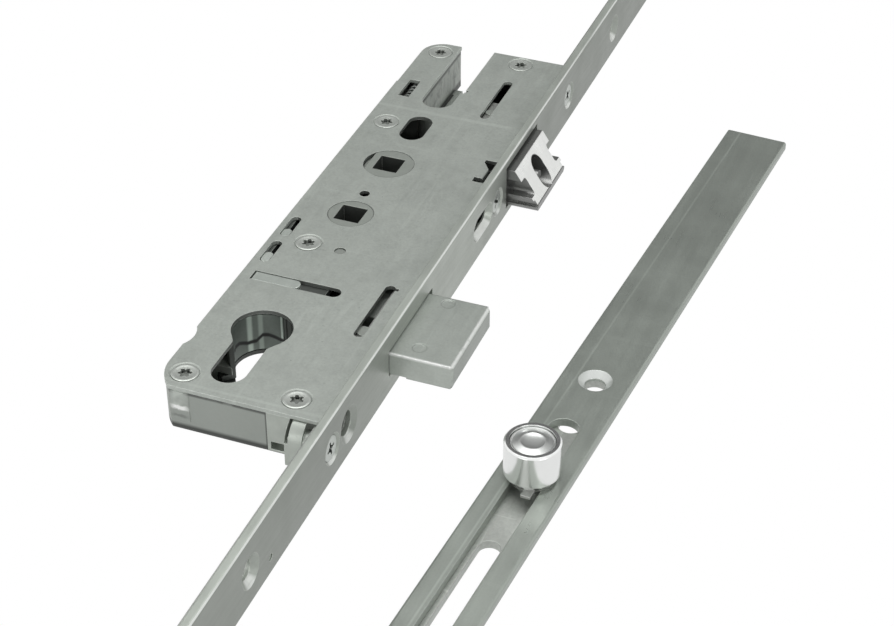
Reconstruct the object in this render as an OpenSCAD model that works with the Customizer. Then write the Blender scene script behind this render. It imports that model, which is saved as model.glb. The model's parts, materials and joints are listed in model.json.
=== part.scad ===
// Multipoint door lock: the stretch of a long faceplate that carries the lock
// case, and the stretch beside it that carries a roller bolt.
// X is the depth: the faceplate's front is at 0 and the case lies at minus X.
// Y runs up the door from the cylinder's axis. Z is across the faceplate.

/* [Faceplate] */
// Width of both faceplates
strip_w = 20; // [18:0.5:24]
// Thickness of both faceplates
strip_t = 2.5; // [2.2:0.1:3]
// Rounding of a faceplate's long front edges
strip_round = 0.8; // [0.3:0.1:1]
// Length of the main faceplate above the cylinder axis
main_above = 275; // [262:1:600]
// Length of the main faceplate below the cylinder axis
main_below = 130; // [126:1:600]
// Height of the upper fixing hole above the cylinder axis
fixing_high_y = 215; // [212:1:217]
// Depth of the lower fixing hole below the cylinder axis
fixing_low_y = 82; // [80:1:88]
// Radius of a fixing hole
fixing_r = 2.9; // [2.5:0.1:3.2]
// Radius of the countersink at a fixing hole's mouth
fixing_mouth_r = 4.8; // [4.2:0.1:5.2]
// Length of the straight wall below a countersink
hole_land = 0.9; // [0.6:0.1:1.2]

/* [Rails] */
// Width of the sliding rails behind the faceplates
rail_w = 11.6; // [11:0.1:12]
// Thickness of the sliding rails
rail_t = 2.5; // [2:0.1:2.6]
// Clearance between a rail and what it slides on
rail_gap = 0.1; // [0.05:0.05:0.2]
// Travel of the rails when the lock is thrown
rail_travel = 18; // [15:0.5:18.5]
// Width of the rail slots round the screw collars
rail_slot_w = 5; // [4.8:0.1:5.4]
// Width of the rail slots round the fixing screws
rail_slot_wide = 7; // [6:0.1:7.4]

/* [Case] */
// Distance from the faceplate's front to the case's rear edge
case_depth = 52.3; // [52:0.1:54]
// Thickness of the case across both sheets
case_t = 15; // [14.8:0.1:15.6]
// Thickness of the base sheet and its walls
base_t = 1.2; // [1:0.1:1.3]
// Thickness of the cover sheet
cover_t = 1.2; // [1:0.1:1.3]
// Height of the case's bottom edge below the cylinder axis
case_below = 31.8; // [31.4:0.1:33]
// Height of the case's top edge above the cylinder axis
case_above = 170.5; // [170:0.1:172]
// Distance of the cylinder and follower axes from the rear edge
rear_margin = 17.3; // [17:0.1:18.5]
// Half the width of the notch
notch_r = 5.25; // [5:0.05:5.5]
// Depth of the notch, from the top to the centre of its round end
notch_deep = 36.2; // [34:0.1:37]
// Inset of the walls under the cover's rim
rim = 0.25; // [0.1:0.05:0.4]
// Bend at the foot of the walls
bend_r = 1.4; // [0.8:0.1:1.6]
// Radius of the cover screws' heads
cover_head_r = 3.9; // [3.4:0.1:4.2]
// Radius of the cover screws' shanks
cover_shank_r = 1.45; // [1.2:0.05:1.6]
// Radius of the posts under the cover screws
post_r = 3.1; // [2.8:0.1:3.3]

/* [Cylinder and followers] */
// Radius of the cylinder hole
cyl_r = 8.7; // [8.5:0.05:8.8]
// Radius of the cylinder hole's narrow end
cyl_neck_r = 5.1; // [5:0.05:5.3]
// Distance from the cylinder axis to the centre of the narrow end
cyl_neck_drop = 20.5; // [19:0.1:21.5]
// Height of the upper follower above the cylinder axis
upper_y = 92; // [91.9:0.1:92.4]
// Height of the lower follower above the cylinder axis
lower_y = 62; // [61.6:0.1:62.1]
// Width of the square spindle holes
square_w = 8; // [7:0.1:9]
// Radius of the upper follower's hub
upper_hub_r = 7.9; // [7.4:0.05:8]
// Radius of the lower follower's hub
lower_hub_r = 6.95; // [6.6:0.05:7.1]
// Clearance round a turning hub
turn_gap = 0.08; // [0.03:0.01:0.1]

/* [Deadbolt] */
// Height of the deadbolt's lower face above the cylinder axis
bolt_y = 6.7; // [6.6:0.1:7.2]
// Height of the deadbolt along the faceplate
bolt_h = 30.3; // [29:0.1:30.6]
// Thickness of the deadbolt
bolt_t = 7.5; // [7:0.1:7.6]
// How far the thrown deadbolt stands out
bolt_out = 18.7; // [18.6:0.1:20]
// Bevel round the deadbolt's outer face
bolt_bevel = 0.8; // [0.3:0.1:1.2]
// Travel of the deadbolt
bolt_travel = 18.5; // [16:0.5:18.5]

/* [Latch] */
// Height of the latch's lower side above the cylinder axis
latch_y = 103.7; // [103.6:0.1:104.2]
// Height of the latch along the faceplate
latch_h = 26.4; // [25.6:0.1:26.5]
// How far the latch stands out
latch_out = 10; // [9.5:0.1:12]
// Distance from the faceplate to the start of the latch's slope
latch_flat = 2.2; // [1.5:0.1:3]
// Width of the latch's outer end below its slope
latch_toe = 2.1; // [1:0.1:4]
// Travel of the latch
latch_travel = 10.5; // [9:0.5:10.5]

/* [Gearing] */
// Module of all teeth
gear_m = 1; // [1:0.05:1]
// Teeth on a full cam ring
ring_teeth = 25; // [25:1:25]
// Teeth on the idler gear
idler_teeth = 11; // [11:1:11]
// Teeth on a full lift sector
sector_teeth = 34; // [34:1:34]
// Play between meshing teeth
tooth_play = 0.18; // [0.12:0.02:0.24]

/* [Roller length] */
// Angle between the two lengths as they lie
roller_turn = 3.9; // [3:0.1:6]
// Distance of the roller length's centre line from the faceplate's front
roller_x = 51.75; // [48:0.25:90]
// Length of the roller faceplate above the reference line
roller_above = 170; // [170:1:400]
// Length of the roller faceplate below the reference line
roller_below = 104; // [104:1:300]
// Radius of the roller sleeve
sleeve_r = 7.6; // [7:0.1:8.4]
// Height of the roller's top above the roller faceplate
roller_h = 12.4; // [10:0.1:14]
// Radius of the roller pin's head
pin_head_r = 6.05; // [5.4:0.05:6.1]
// Radius of the roller pin's shank
pin_r = 3.9; // [3.2:0.05:4]
// Width of the slot that the roller moves in
roller_slot_w = 8.6; // [8.3:0.1:9]
// Distance of the roller below the reference line
roller_drop = 18.8; // [16:0.1:20]
// Distance of the roller length's fixing hole above the reference line
roller_fix_s = 26.2; // [25:0.1:30]

/* [Springs] */
// Thickness of the spring wire
wire_d = 0.7; // [0.5:0.05:0.75]
// Outer diameter of the finger spring
finger_spring_d = 3.8; // [3.2:0.1:4]
// Outer diameter of the latch spring
latch_spring_d = 6.4; // [5.6:0.1:6.8]

/* [Hidden] */

e = 0.01;
far = 5;
plate_back = -strip_t;
rail_front = plate_back - rail_gap;
rail_back = rail_front - rail_t;
rear_x = -case_depth;
half_t = case_t / 2;
floor_z = base_t - half_t;
roof_z = half_t - cover_t;
wall_in = base_t;
inner_rear = rear_x + rim + wall_in;
backset = case_depth - rear_margin;
cx = -backset;

// Layers inside the case
layer_gap = 0.35;
mid_z = bolt_t / 2;
low_z0 = floor_z + 0.2;
low_z1 = -mid_z - layer_gap;
high_z0 = mid_z + layer_gap;
high_z1 = high_z0 + 1.5;
head_z1 = roof_z - 0.15;

// Machine screws through the faceplate, and what they hold
screw_top_y = case_above - 5.9;
screw_mid_y = 94.8;
screw_low_y = -32.3;
screw_r = 2;
screw_mouth_r = 4.5;
collar_r = rail_slot_w / 2 - 0.3;
cyl_screw_y = -21.3;
cyl_screw_r = 3.6;
cyl_screw_mouth_r = 5.5;

// Finger and notch
finger_top_y = case_above - 0.3;
notch_y = case_above - notch_deep;
notch_x = cx + 0.05;
finger_right_x = notch_x - notch_r - 0.1;
notch_step_y = notch_y + 6.7;
notch_step_x = notch_x + notch_r + 1.1;

// Cover screw places
cover_spots = [[rear_x + 6.5, case_above - 6.2], [-17.6, case_above - 4.8],
    [rear_x + 6.8, case_above - 54.9], [rear_x + 11.8, 43.5], [rear_x + 6.3, 6.6 - case_below]];
foot_spot = [-13.2, 6.8 - case_below];

// Where small pieces sit
stud_spot = [cx + 4.9, 42.7];
cross_y = 22.85;
flap_r = 0.9;
nose_r = 3.6;
nose_z = 0.45 - bolt_t / 2;

// Bolt and latch
bolt_top = bolt_y + bolt_h;
bolt_open = 0.4;
bolt_root_x = -5.4;
latch_top = latch_y + latch_h;
latch_z0 = -6.9;
latch_z1 = roof_z - 0.1;
latch_root_x = -2.4;
latch_mid_y = latch_y + latch_h / 2;
latch_window = latch_travel - latch_root_x + 0.5;

// Gearing: the ring drives the idler, and the idler drives the bolt's rack
ring_r = gear_m * ring_teeth / 2;
idler_r = gear_m * idler_teeth / 2;
sector_r = gear_m * sector_teeth / 2;
addendum = 0.65;
dedendum = 0.95;
mesh_a = 60;
idler_x = cx + (ring_r + idler_r) * cos(mesh_a);
idler_y = (ring_r + idler_r) * sin(mesh_a);
idler_phase = mesh_a + 180 + 180 / idler_teeth;
rack_y = idler_y + idler_r;
rack_x = cx + sector_r;
pitch = PI * gear_m;
ring_in_r = cyl_r + 0.3;
ring_hub_r = 10.4;
ring_open = 75;

// The latch lever and its carriage
lever_r = 14;
tip_r = 2;
lug_x = cx - tip_r - 0.1;
carriage_y = lower_y + lever_r + tip_r + 1.5;
arm_x0 = -16.5;
arm_x1 = -13;

// The plate that joins both rails
plate_x0 = rack_x + dedendum * gear_m;
plate_x1 = plate_x0 + 3.85;

// Roller length, drawn along its own Y and then turned
roller_floor = -strip_w / 2;
roller_face_z = roller_floor + rail_t + rail_gap + strip_t;

module box(x0, x1, y0, y1, z0, z1) {
    translate([x0, y0, z0]) cube([x1 - x0, y1 - y0, z1 - z0]);
}

module rect(x0, x1, y0, y1) {
    translate([x0, y0]) square([x1 - x0, y1 - y0]);
}

// A slot outline with two round ends, whichever way it is longer
module slot(x0, x1, y0, y1) {
    w = x1 - x0;
    h = y1 - y0;
    r = min(w, h) / 2;
    if (h >= w) {
        rect(x0, x1, y0 + r, y1 - r);
        translate([x0 + r, y0 + r]) circle(r = r, $fn = 32);
        translate([x0 + r, y1 - r]) circle(r = r, $fn = 32);
    } else {
        rect(x0 + r, x1 - r, y0, y1);
        translate([x0 + r, y0 + r]) circle(r = r, $fn = 32);
        translate([x1 - r, y0 + r]) circle(r = r, $fn = 32);
    }
}

// A sheet of the given outline between two heights
module sheet(z0, z1) {
    translate([0, 0, z0]) linear_extrude(z1 - z0) children();
}

// An outline across X and Z drawn out along Y
module along_y(y0, y1) {
    translate([0, y1, 0]) rotate([90, 0, 0]) linear_extrude(y1 - y0) children();
}

// An outline across Y and Z drawn out along X
module along_x(x0, x1) {
    translate([x0, 0, 0]) rotate([90, 0, 90]) linear_extrude(x1 - x0) children();
}

module rod_x(x0, x1, y, z, r) {
    translate([x0, y, z]) rotate([0, 90, 0]) cylinder(h = x1 - x0, r = r, $fn = 48);
}

module rod_z(x, y, z0, z1, r) {
    translate([x, y, z0]) cylinder(h = z1 - z0, r = r, $fn = 48);
}

// A countersunk hole through a sheet whose front is at x = 0
module sunk_x(y, r, mouth, land) {
    rod_x(plate_back - far, far, y, 0, r);
    translate([plate_back + land, y, 0]) rotate([0, 90, 0])
        cylinder(h = strip_t - land, r1 = r, r2 = mouth, $fn = 48);
}

module strip_section() {
    r = strip_round;
    h = strip_w / 2;
    rect(-strip_t, -r, -h, h);
    rect(-r - e, 0, r - h, h - r);
    for (s = [-1, 1]) translate([-r, s * (h - r)]) circle(r = r, $fn = 32);
}

// Countersunk slot in the faceplate, between two centres
module sunk_slot(y0, y1, z, r, mouth_r) {
    bottom = plate_back + 0.6;
    for (y = [y0, y1]) translate([bottom, y, z]) rotate([0, 90, 0])
        cylinder(h = e - bottom, r1 = r, r2 = mouth_r, $fn = 64);
    along_y(y0, y1) polygon([[bottom, z - r], [bottom, z + r], [e, z + mouth_r], [e, z - mouth_r]]);
    along_x(plate_back - far, bottom + e) slot(y0 - r, y1 + r, z - r, z + r);
}

module faceplate() {
    color([0.52, 0.55, 0.51]) difference() {
        along_y(-main_below, main_above) strip_section();
        for (y = [fixing_high_y, -fixing_low_y])
            sunk_x(y, fixing_r, fixing_mouth_r, hole_land);
        for (y = [screw_top_y, screw_mid_y, screw_low_y])
            sunk_x(y, screw_r + 0.15, screw_mouth_r + 0.1, 0.4);
        sunk_x(cyl_screw_y, cyl_screw_r, cyl_screw_mouth_r, 1.4);
        // Deadbolt, latch and the slot that shows the rail's fork
        box(plate_back - far, far, bolt_y - bolt_open, bolt_top + 2.5,
            -mid_z - bolt_open, mid_z + bolt_open);
        box(plate_back - far, far, latch_y - 1.2, latch_top + 1.6,
            -half_t + 0.1, half_t);
        sunk_slot(77.5, 86, 0.5, 2.5, 4);
        // Small dimple near the lower end
        rod_x(-0.6, far, -71, -4.8, 1);
    }
}

// Outline of the case, drawn in by d for the inside of its walls
module case_outline(d, open = false) {
    front = open ? far : rail_front;
    nx = notch_x;
    difference() {
        union() {
            rect(rear_x + d, front, d - case_below, notch_step_y);
            rect(rear_x + 0.3 + d, finger_right_x - d, upper_y, finger_top_y - d);
            rect(notch_step_x + d, front, upper_y, case_above - d);
        }
        // The notch between the two fingers, with its round end
        rect(finger_right_x - d, notch_step_x + d, notch_step_y, case_above + far);
        rect(nx - notch_r - d, nx + notch_r + d, notch_y, notch_step_y + e);
        translate([nx, notch_y]) circle(r = notch_r + d, $fn = 64);
        // Shallow bite in the rear edge
        translate([rear_x + 1.3 - 7.6 + d, -9.75]) circle(r = 7.6, $fn = 64);
        // Rounded lower rear corner
        difference() {
            rect(rear_x - far, rear_x + 12.9, -case_below - far, -22);
            translate([rear_x + 12.9, -22]) circle(r = 12.9 - d, $fn = 96);
        }
        // Rounded top corner of the rear finger
        difference() {
            rect(rear_x - far, rear_x + 7.5, finger_top_y - 7.5, case_above + far);
            translate([rear_x + 7.8, finger_top_y - 7.5]) circle(r = 7.5 - d, $fn = 64);
        }
    }
}

// Cylinder hole: a round end, a neck and bevelled blends between them
module cylinder_outline(g) {
    a = 3.5;
    w = sqrt(cyl_r * cyl_r - a * a);
    n = cyl_neck_r;
    translate([cx, 0]) {
        circle(r = cyl_r + g, $fn = 96);
        rect(-n - g, n + g, -cyl_neck_drop, 0);
        translate([0, -cyl_neck_drop]) circle(r = n + g, $fn = 48);
        polygon([[-w, -a], [w, -a], [n, -8], [-n, -8]]);
    }
}

// Openings that the base and the cover share
module shared_openings() {
    cylinder_outline(0);
    translate([cx, upper_y]) circle(r = upper_hub_r + turn_gap, $fn = 96);
    translate([cx, lower_y]) circle(r = lower_hub_r + turn_gap, $fn = 96);
    slot(cx - 4.1, cx + 3.9, 107.5, 122.5);
    slot(rear_x + 1.9, rear_x + 5, 44, 54.7);
    slot(rear_x + 1.9, rear_x + 5, 29.8, 41);
    translate([cx - 0.4, 73.7]) circle(r = 1.6, $fn = 32);
}

// What a bend at a wall's foot takes off a square corner at the origin
module bend_corner() {
    difference() {
        translate([-1, -1]) square(bend_r + 1);
        translate([bend_r, bend_r]) circle(r = bend_r, $fn = 32);
        translate([bend_r, -2]) square(bend_r + 3);
        translate([-2, bend_r]) square(bend_r + 3);
    }
}

module case_base() {
    color([0.6, 0.62, 0.59]) difference() {
        union() {
            sheet(-half_t, floor_z) {
                case_outline(rim);
                rect(finger_right_x - rim - e, finger_right_x + 0.6, notch_y, notch_y + 27);
            }
            sheet(floor_z, roof_z) difference() {
                case_outline(rim);
                case_outline(rim + wall_in, true);
                rect(-19.2, far, -case_below - far, -case_below + 3);
                rect(-6, far, upper_y, case_above + far);
            }
            // Lip of the rear wall, folded round onto the end wall
            box(rear_x + 4.6, rear_x + 10.3, -case_below + 0.03, -case_below + rim + e,
                -3.6, roof_z - 0.5);
            // Tabs lanced up from the sheet, which the two springs push on
            box(-20, -18.8, latch_mid_y - 3.9, latch_mid_y + 6.1, floor_z - e, mid_z);
            box(rear_x + 2.3, rear_x + 9.3, finger_spring_y1 + 0.2, finger_spring_y1 + 1.4,
                floor_z - e, roof_z - 0.6);
        }
        // Bends at the foot of the rear wall and of the end wall
        along_y(-22, notch_y) translate([rear_x + rim, -half_t]) bend_corner();
        translate([0, rim - case_below, 0]) mirror([0, 1, 0]) rotate([0, 0, -90])
            along_y(rear_x + 4.6, far) translate([0, -half_t]) bend_corner();
        translate([rear_x + 12.9, -22, 0]) rotate([0, 0, 180])
            rotate_extrude(angle = 70, $fn = 96) translate([12.9 - rim, -half_t])
            mirror([1, 0]) bend_corner();
        sheet(-half_t - far, floor_z + e) shared_openings();
        // Window that the thick latch head draws back into
        box(-latch_window, far, latch_y - 0.5, latch_top + 0.5,
            -half_t - far, floor_z + e);
    }
}

module case_cover() {
    color([0.63, 0.65, 0.62]) difference() {
        sheet(roof_z, half_t) case_outline(0);
        sheet(roof_z - far, half_t + far) {
            shared_openings();
            translate(stud_spot) circle(r = 1.7, $fn = 32);
            // Window over the finger spring
            rect(rear_x + 3.9, rear_x + 7.6, finger_spring_y0 - 2, finger_spring_y0 + 9);
            // Slots for the drive plate's rivets
            slot(rivet_high[0] - 1.55, rivet_high[0] + 1.55, rivet_high[1] - 6.8,
                rivet_high[1] + rail_travel + 0.6);
            slot(rivet_low[0] - 1.6, rivet_low[0] + 1.5, rivet_low[1] - 4.8,
                rivet_low[1] + rail_travel + 3);
            rect(rivet_low[0] - 0.3, rivet_low[0] + 2.4, rivet_low[1] + 19, rivet_low[1] + 20.2);
            // Slot of the blocking slide, square at its left end
            rect(rear_x + 3.5, rear_x + 22.3, cross_y - 2.15, cross_y + 2.15);
            slot(rear_x + 17.3, rear_x + 31, cross_y - 2.15, cross_y + 2.15);
            // Window beside the middle screw block
            rect(-7.6, -4.9, screw_mid_y + 8.7, screw_mid_y + 10.2);
            rect(-4.9, -3.4, screw_mid_y - 2.8, screw_mid_y + 10.2);
            rect(-7.6, -4.9, screw_mid_y - 2.8, screw_mid_y - 0.3);
            polygon([[-7.6, screw_mid_y + 8.7], [-4.9, screw_mid_y + 8.7], [-4.9, screw_mid_y + 5]]);
            // Relief hole in the notch's corner
            translate([notch_step_x + 0.3, notch_step_y + 1.5]) circle(r = 0.7, $fn = 24);
        }
        for (p = concat(cover_spots, [foot_spot])) translate([p[0], p[1], roof_z - e])
            cylinder(h = cover_t + 2 * e, r1 = cover_shank_r + 1.1, r2 = cover_head_r + 0.45, $fn = 48);
        // The flap's free edge is rolled over
        along_y(screw_mid_y - 0.3, screw_mid_y + 8.7) difference() {
            rect(-4.9 - flap_r, -4.9 + e, half_t - flap_r, half_t + e);
            translate([-4.9 - flap_r, half_t - flap_r]) circle(r = flap_r, $fn = 32);
        }
    }
}

// A countersunk cover screw, flush with the cover, with a six-lobed socket
module cover_screw(p) {
    translate([p[0], p[1], half_t]) difference() {
        union() {
            translate([0, 0, -0.2]) cylinder(h = 0.2, r = cover_head_r, $fn = 48);
            translate([0, 0, -cover_t])
                cylinder(h = cover_t - 0.2 + e, r1 = cover_shank_r + 0.5, r2 = cover_head_r, $fn = 48);
            translate([0, 0, -4.6]) cylinder(h = 4.6 - cover_t + e, r = cover_shank_r, $fn = 32);
        }
        translate([0, 0, -1]) linear_extrude(far) {
            circle(r = 1.15, $fn = 32);
            for (a = [15 : 60 : 315]) rotate(a) translate([1.2, 0]) circle(r = 0.42, $fn = 16);
        }
    }
}

module cover_screws() {
    color([0.7, 0.72, 0.7]) for (p = concat(cover_spots, [foot_spot])) cover_screw(p);
}

module cover_posts() {
    color([0.6, 0.62, 0.6]) for (p = cover_spots) difference() {
        rod_z(p[0], p[1], floor_z, roof_z, post_r);
        rod_z(p[0], p[1], roof_z - 6, roof_z + far, cover_shank_r + 0.05);
    }
}

module zinc_foot() {
    y0 = -case_below;
    color([0.72, 0.73, 0.71]) difference() {
        union() {
            box(-19.1, -12.2, y0, -20.5, floor_z, roof_z);
            box(-12.3, -9.8, y0 + 3.4, -20.5, floor_z, roof_z);
            // Boss for the lower faceplate screw, with a rounded nose
            rod_x(-12.3, rail_back - 0.3, screw_low_y, 0, nose_r);
            along_x(-12.3, -7.4) {
                translate([screw_low_y - nose_r + roof_z, 0]) circle(r = roof_z, $fn = 64);
                rect(screw_low_y - nose_r, y0 + 8, floor_z, 0);
            }
        }
        box(-18.2, -12.5, y0 - far, y0 + 3, -5.7, -3.2);
        box(-12.2, -11.3, y0 - far, y0 + 3.4, 1, roof_z + e);
        rod_x(-13, far, screw_low_y, 0, screw_r + 0.05);
        // Passage for the cylinder's screw
        rod_x(-25, far, cyl_screw_y, 0, cyl_screw_r);
        rod_z(foot_spot[0], foot_spot[1], roof_z - 5, roof_z + far, cover_shank_r + 0.05);
    }
}

module faceplate_screw(y, deep) {
    rod_x(-deep, -1, y, 0, screw_r);
    translate([plate_back + 0.7, y, 0]) rotate([0, 90, 0])
        cylinder(h = strip_t - 1.1, r1 = screw_r, r2 = screw_mouth_r - 0.6, $fn = 48);
}

module faceplate_screws() {
    color([0.66, 0.67, 0.64]) {
        faceplate_screw(screw_top_y, 13);
        faceplate_screw(screw_mid_y, 11);
        faceplate_screw(screw_low_y, 11.6);
    }
}

// A threaded block behind the faceplate, with the collar that its rail slides on
module screw_block(y0, y1, x0, y) {
    difference() {
        union() {
            box(x0, rail_back - 0.2, y0, y1, floor_z, mid_z + 0.1);
            rod_x(rail_back - 0.3, plate_back, y, 0, collar_r);
        }
        rod_x(x0 - far, far, y, 0, screw_r + 0.05);
    }
}

module top_screw_block() {
    color([0.7, 0.71, 0.69])
        screw_block(screw_top_y - 4.8, case_above - rim - wall_in, -13.5, screw_top_y);
}

module mid_screw_block() {
    color([0.7, 0.71, 0.69])
        screw_block(screw_mid_y - 4.9, screw_mid_y + 4.9, -11.8, screw_mid_y);
}

// Zinc guide that keeps the cam ring on the cylinder's axis
module ring_guide() {
    x0 = inner_rear + 1.6;
    tip = ring_r + addendum * gear_m;
    color([0.68, 0.69, 0.67]) difference() {
        union() {
            box(x0, cx - 2, -9, 14, low_z1 + 0.3, -1.4);
            for (y = [-9, 11]) box(x0, x0 + 4.6, y, y + 3, floor_z, roof_z);
        }
        rod_z(cx, 0, floor_z + e, roof_z - e, ring_hub_r + 0.1);
        rod_z(cx, 0, floor_z - far, low_z1 + 0.3, tip + 0.4);
    }
}

module idler_pin() {
    color([0.75, 0.76, 0.74]) rod_z(idler_x, idler_y, floor_z, low_z1 + 0.1, 1.5);
}

module guide_stud() {
    color([0.7, 0.72, 0.7]) {
        rod_z(stud_spot[0], stud_spot[1], floor_z, half_t - 0.4, 1.55);
        rod_z(stud_spot[0], stud_spot[1], floor_z, 3, 2.4);
    }
}

// A coil spring along Y from the origin, as one tube of six sides
function coil_pts(r, len, n, k) = [for (i = [0 : n * k])
    let(a = 360 * i / k, f = i / (n * k)) [r * cos(a), len * f, r * sin(a)]];
function sub(a, b) = [a[0] - b[0], a[1] - b[1], a[2] - b[2]];
function unit(v) = v / norm(v);

module coil(d, len, n) {
    k = 8;
    r = (d - wire_d) / 2;
    p = coil_pts(r, len - wire_d, n, k);
    m = len(p) - 1;
    rings = [for (i = [0 : m])
        let(t = unit(sub(p[min(i + 1, m)], p[max(i - 1, 0)])),
            o = unit([p[i][0], 0, p[i][2]]),
            b = cross(t, o))
        [for (j = [0 : 5]) p[i] + (o * cos(60 * j) + b * sin(60 * j)) * wire_d / 2]];
    pts = [for (q = rings) for (v = q) v];
    faces = concat(
        [for (i = [0 : m - 1]) for (j = [0 : 5])
            [6 * i + j, 6 * i + (j + 1) % 6, 6 * (i + 1) + j]],
        [for (i = [0 : m - 1]) for (j = [0 : 5])
            [6 * i + (j + 1) % 6, 6 * (i + 1) + (j + 1) % 6, 6 * (i + 1) + j]],
        [for (j = [1 : 4]) [0, j + 1, j]],
        [for (j = [1 : 4]) [6 * m, 6 * m + j, 6 * m + j + 1]]);
    // Least gap between neighbouring curls, measured centre to centre
    gaps = [for (i = [0 : m]) for (j = [i + k - 2 : min(i + k + 2, m)])
        norm(sub(p[i], p[j])) - wire_d];
    echo(coil_gap = min(gaps));
    translate([0, wire_d / 2, 0]) polyhedron(points = pts, faces = faces);
}

// Springs: one behind the rear bar's head, one behind the latch
finger_spring_y0 = case_above - 36;
finger_spring_y1 = case_above - 16.7;
latch_spring_x0 = -18.6;
latch_spring_x1 = 1.8;

module finger_spring() {
    color([0.78, 0.79, 0.77]) translate([rear_x + 5.7, finger_spring_y0, high_z0 - 0.4])
        coil(finger_spring_d, finger_spring_y1 - finger_spring_y0, 11);
}

module latch_spring() {
    color([0.78, 0.79, 0.77]) translate([latch_spring_x1, latch_mid_y + 1.1, 0])
        rotate([0, 0, 90]) coil(latch_spring_d, latch_spring_x1 - latch_spring_x0, 9);
}

module rail_section() {
    rect(rail_back, rail_front, -rail_w / 2, rail_w / 2);
}

module rail_slot(y0, y1, w) {
    along_x(rail_back - far, rail_front + far) slot(y0, y1, -w / 2, w / 2);
}

fork_y = 74.4;
lower_rail_y0 = 16 - main_below - 6;
lower_rail_y1 = latch_y - 0.5 - rail_travel;
upper_rail_y0 = latch_top + 1.1;
upper_rail_y1 = main_above - 8;

module lower_rail() {
    s = rail_slot_wide / 2;
    q = collar_r + 0.3;
    color([0.58, 0.6, 0.57]) difference() {
        along_y(lower_rail_y0, lower_rail_y1) rail_section();
        // Window that the deadbolt passes through at every height of the rail
        box(rail_back - far, far, bolt_y - 0.7 - rail_travel, bolt_top + 0.9,
            -mid_z - 0.3, mid_z + 0.3);
        rail_slot(-screw_mouth_r + screw_low_y + 1.9 - rail_travel,
            cyl_screw_y + 0.2 + s, rail_slot_wide);
        rail_slot(-fixing_low_y - s - rail_travel, -fixing_low_y + s, rail_slot_wide);
        // Fork that straddles the middle screw's collar when the rail is up
        along_x(rail_back - far, far) slot(fork_y, lower_rail_y1 + far, -q, q);
    }
}

module upper_rail() {
    s = rail_slot_wide / 2;
    q = rail_slot_w / 2;
    color([0.58, 0.6, 0.57]) difference() {
        along_y(upper_rail_y0, upper_rail_y1) rail_section();
        rail_slot(screw_top_y - q - rail_travel, screw_top_y + q, rail_slot_w);
        rail_slot(fixing_high_y - s - rail_travel, fixing_high_y + s, rail_slot_wide);
    }
}

// Flat plate in the top layer that joins both rails round the latch
low_arm_y0 = 57;
low_arm_y1 = screw_mid_y - 4.9 - rail_travel - 0.5;
high_arm_y0 = latch_top + 3;
high_arm_y1 = latch_top + 11.1;
rivet_low = [-9.1, 10.8];
rivet_high = [plate_x0 - 0.2, latch_top + 4.9];

module drive_plate() {
    top = high_arm_y1 + 0.8;
    color([0.6, 0.62, 0.6]) {
        difference() {
            union() {
                sheet(high_z0, high_z1) {
                    rect(-9, rail_back, -8, low_arm_y0 + 2);
                    rect(rivet_low[0] - 2.2, -8, 8, 13.6);
                    rect(plate_x0, rail_back, low_arm_y0, low_arm_y1);
                    rect(plate_x0, plate_x1, low_arm_y1 - 1, top);
                    rect(plate_x1 - e, rail_back, high_arm_y0, high_arm_y1);
                    rect(rivet_high[0] - 1.6, plate_x0 + e, high_arm_y0 - 2, top);
                }
                // Rack teeth that the lift sector meshes with
                sheet(high_z0, high_z1) translate([plate_x0, upper_y]) rotate(90)
                    rack_teeth(-6, 0, 0.5);
                // Flange folded down against the back of the lower rail
                box(rail_back - 1.6, rail_back, low_arm_y0, low_arm_y1, -4.5, high_z1);
            }
            rod_z(rivet_low[0], rivet_low[1], 0, far + far, 1);
            rod_z(rivet_high[0], rivet_high[1], 0, far + far, 1);
        }
    }
}

// Rack teeth along X that point up, rooted on the X axis, counted in pitches
module rack_teeth(k0, k1, shift) {
    a = tan(20);
    h = pitch / 4 - tooth_play / 4;
    d = dedendum * gear_m;
    t = d + addendum * gear_m;
    for (k = [k0 : k1]) translate([(k + shift) * pitch, 0])
        polygon([[-h - d * a, -0.3], [h + d * a, -0.3], [h + d * a, 0],
            [h - addendum * gear_m * a, t], [addendum * gear_m * a - h, t], [-h - d * a, 0]]);
}

module drive_rivets() {
    color([0.72, 0.73, 0.71]) {
        rod_z(rivet_low[0], rivet_low[1], high_z1, head_z1, 2.15);
        rod_z(rivet_low[0], rivet_low[1], high_z0, high_z1 + e, 0.95);
        rod_z(rivet_high[0], rivet_high[1], high_z1, head_z1, 1.5);
        rod_z(rivet_high[0], rivet_high[1], high_z0, high_z1 + e, 0.95);
    }
}

// One gear tooth's outline about angle c, from its root round its tip
function inv_a(a) = tan(a) * 180 / PI - a;
function half_a(n, r) = let(rp = gear_m * n / 2, rb = rp * cos(20))
    90 / n - tooth_play / 4 / rp * 180 / PI + inv_a(20) - inv_a(acos(min(1, rb / r)));
function polar(r, a) = [r * cos(a), r * sin(a)];
function tooth(n, c) = let(
        rp = gear_m * n / 2,
        rb = rp * cos(20),
        ro = rp + addendum * gear_m,
        ri = rp - dedendum * gear_m,
        r0 = max(ri, rb),
        rs = [for (i = [0 : 3]) r0 + (ro - r0) * i / 3])
    concat([polar(ri, c - half_a(n, r0))], [for (r = rs) polar(r, c - half_a(n, r))],
        [for (i = [3 : -1 : 0]) polar(rs[i], c + half_a(n, rs[i]))],
        [polar(ri, c + half_a(n, r0))]);

module gear_outline(n, phase, k0, k1, centre) {
    t = [for (k = [k0 : k1]) for (q = tooth(n, phase + k * 360 / n)) q];
    polygon(centre ? concat([[0, 0]], t) : t);
}

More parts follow.
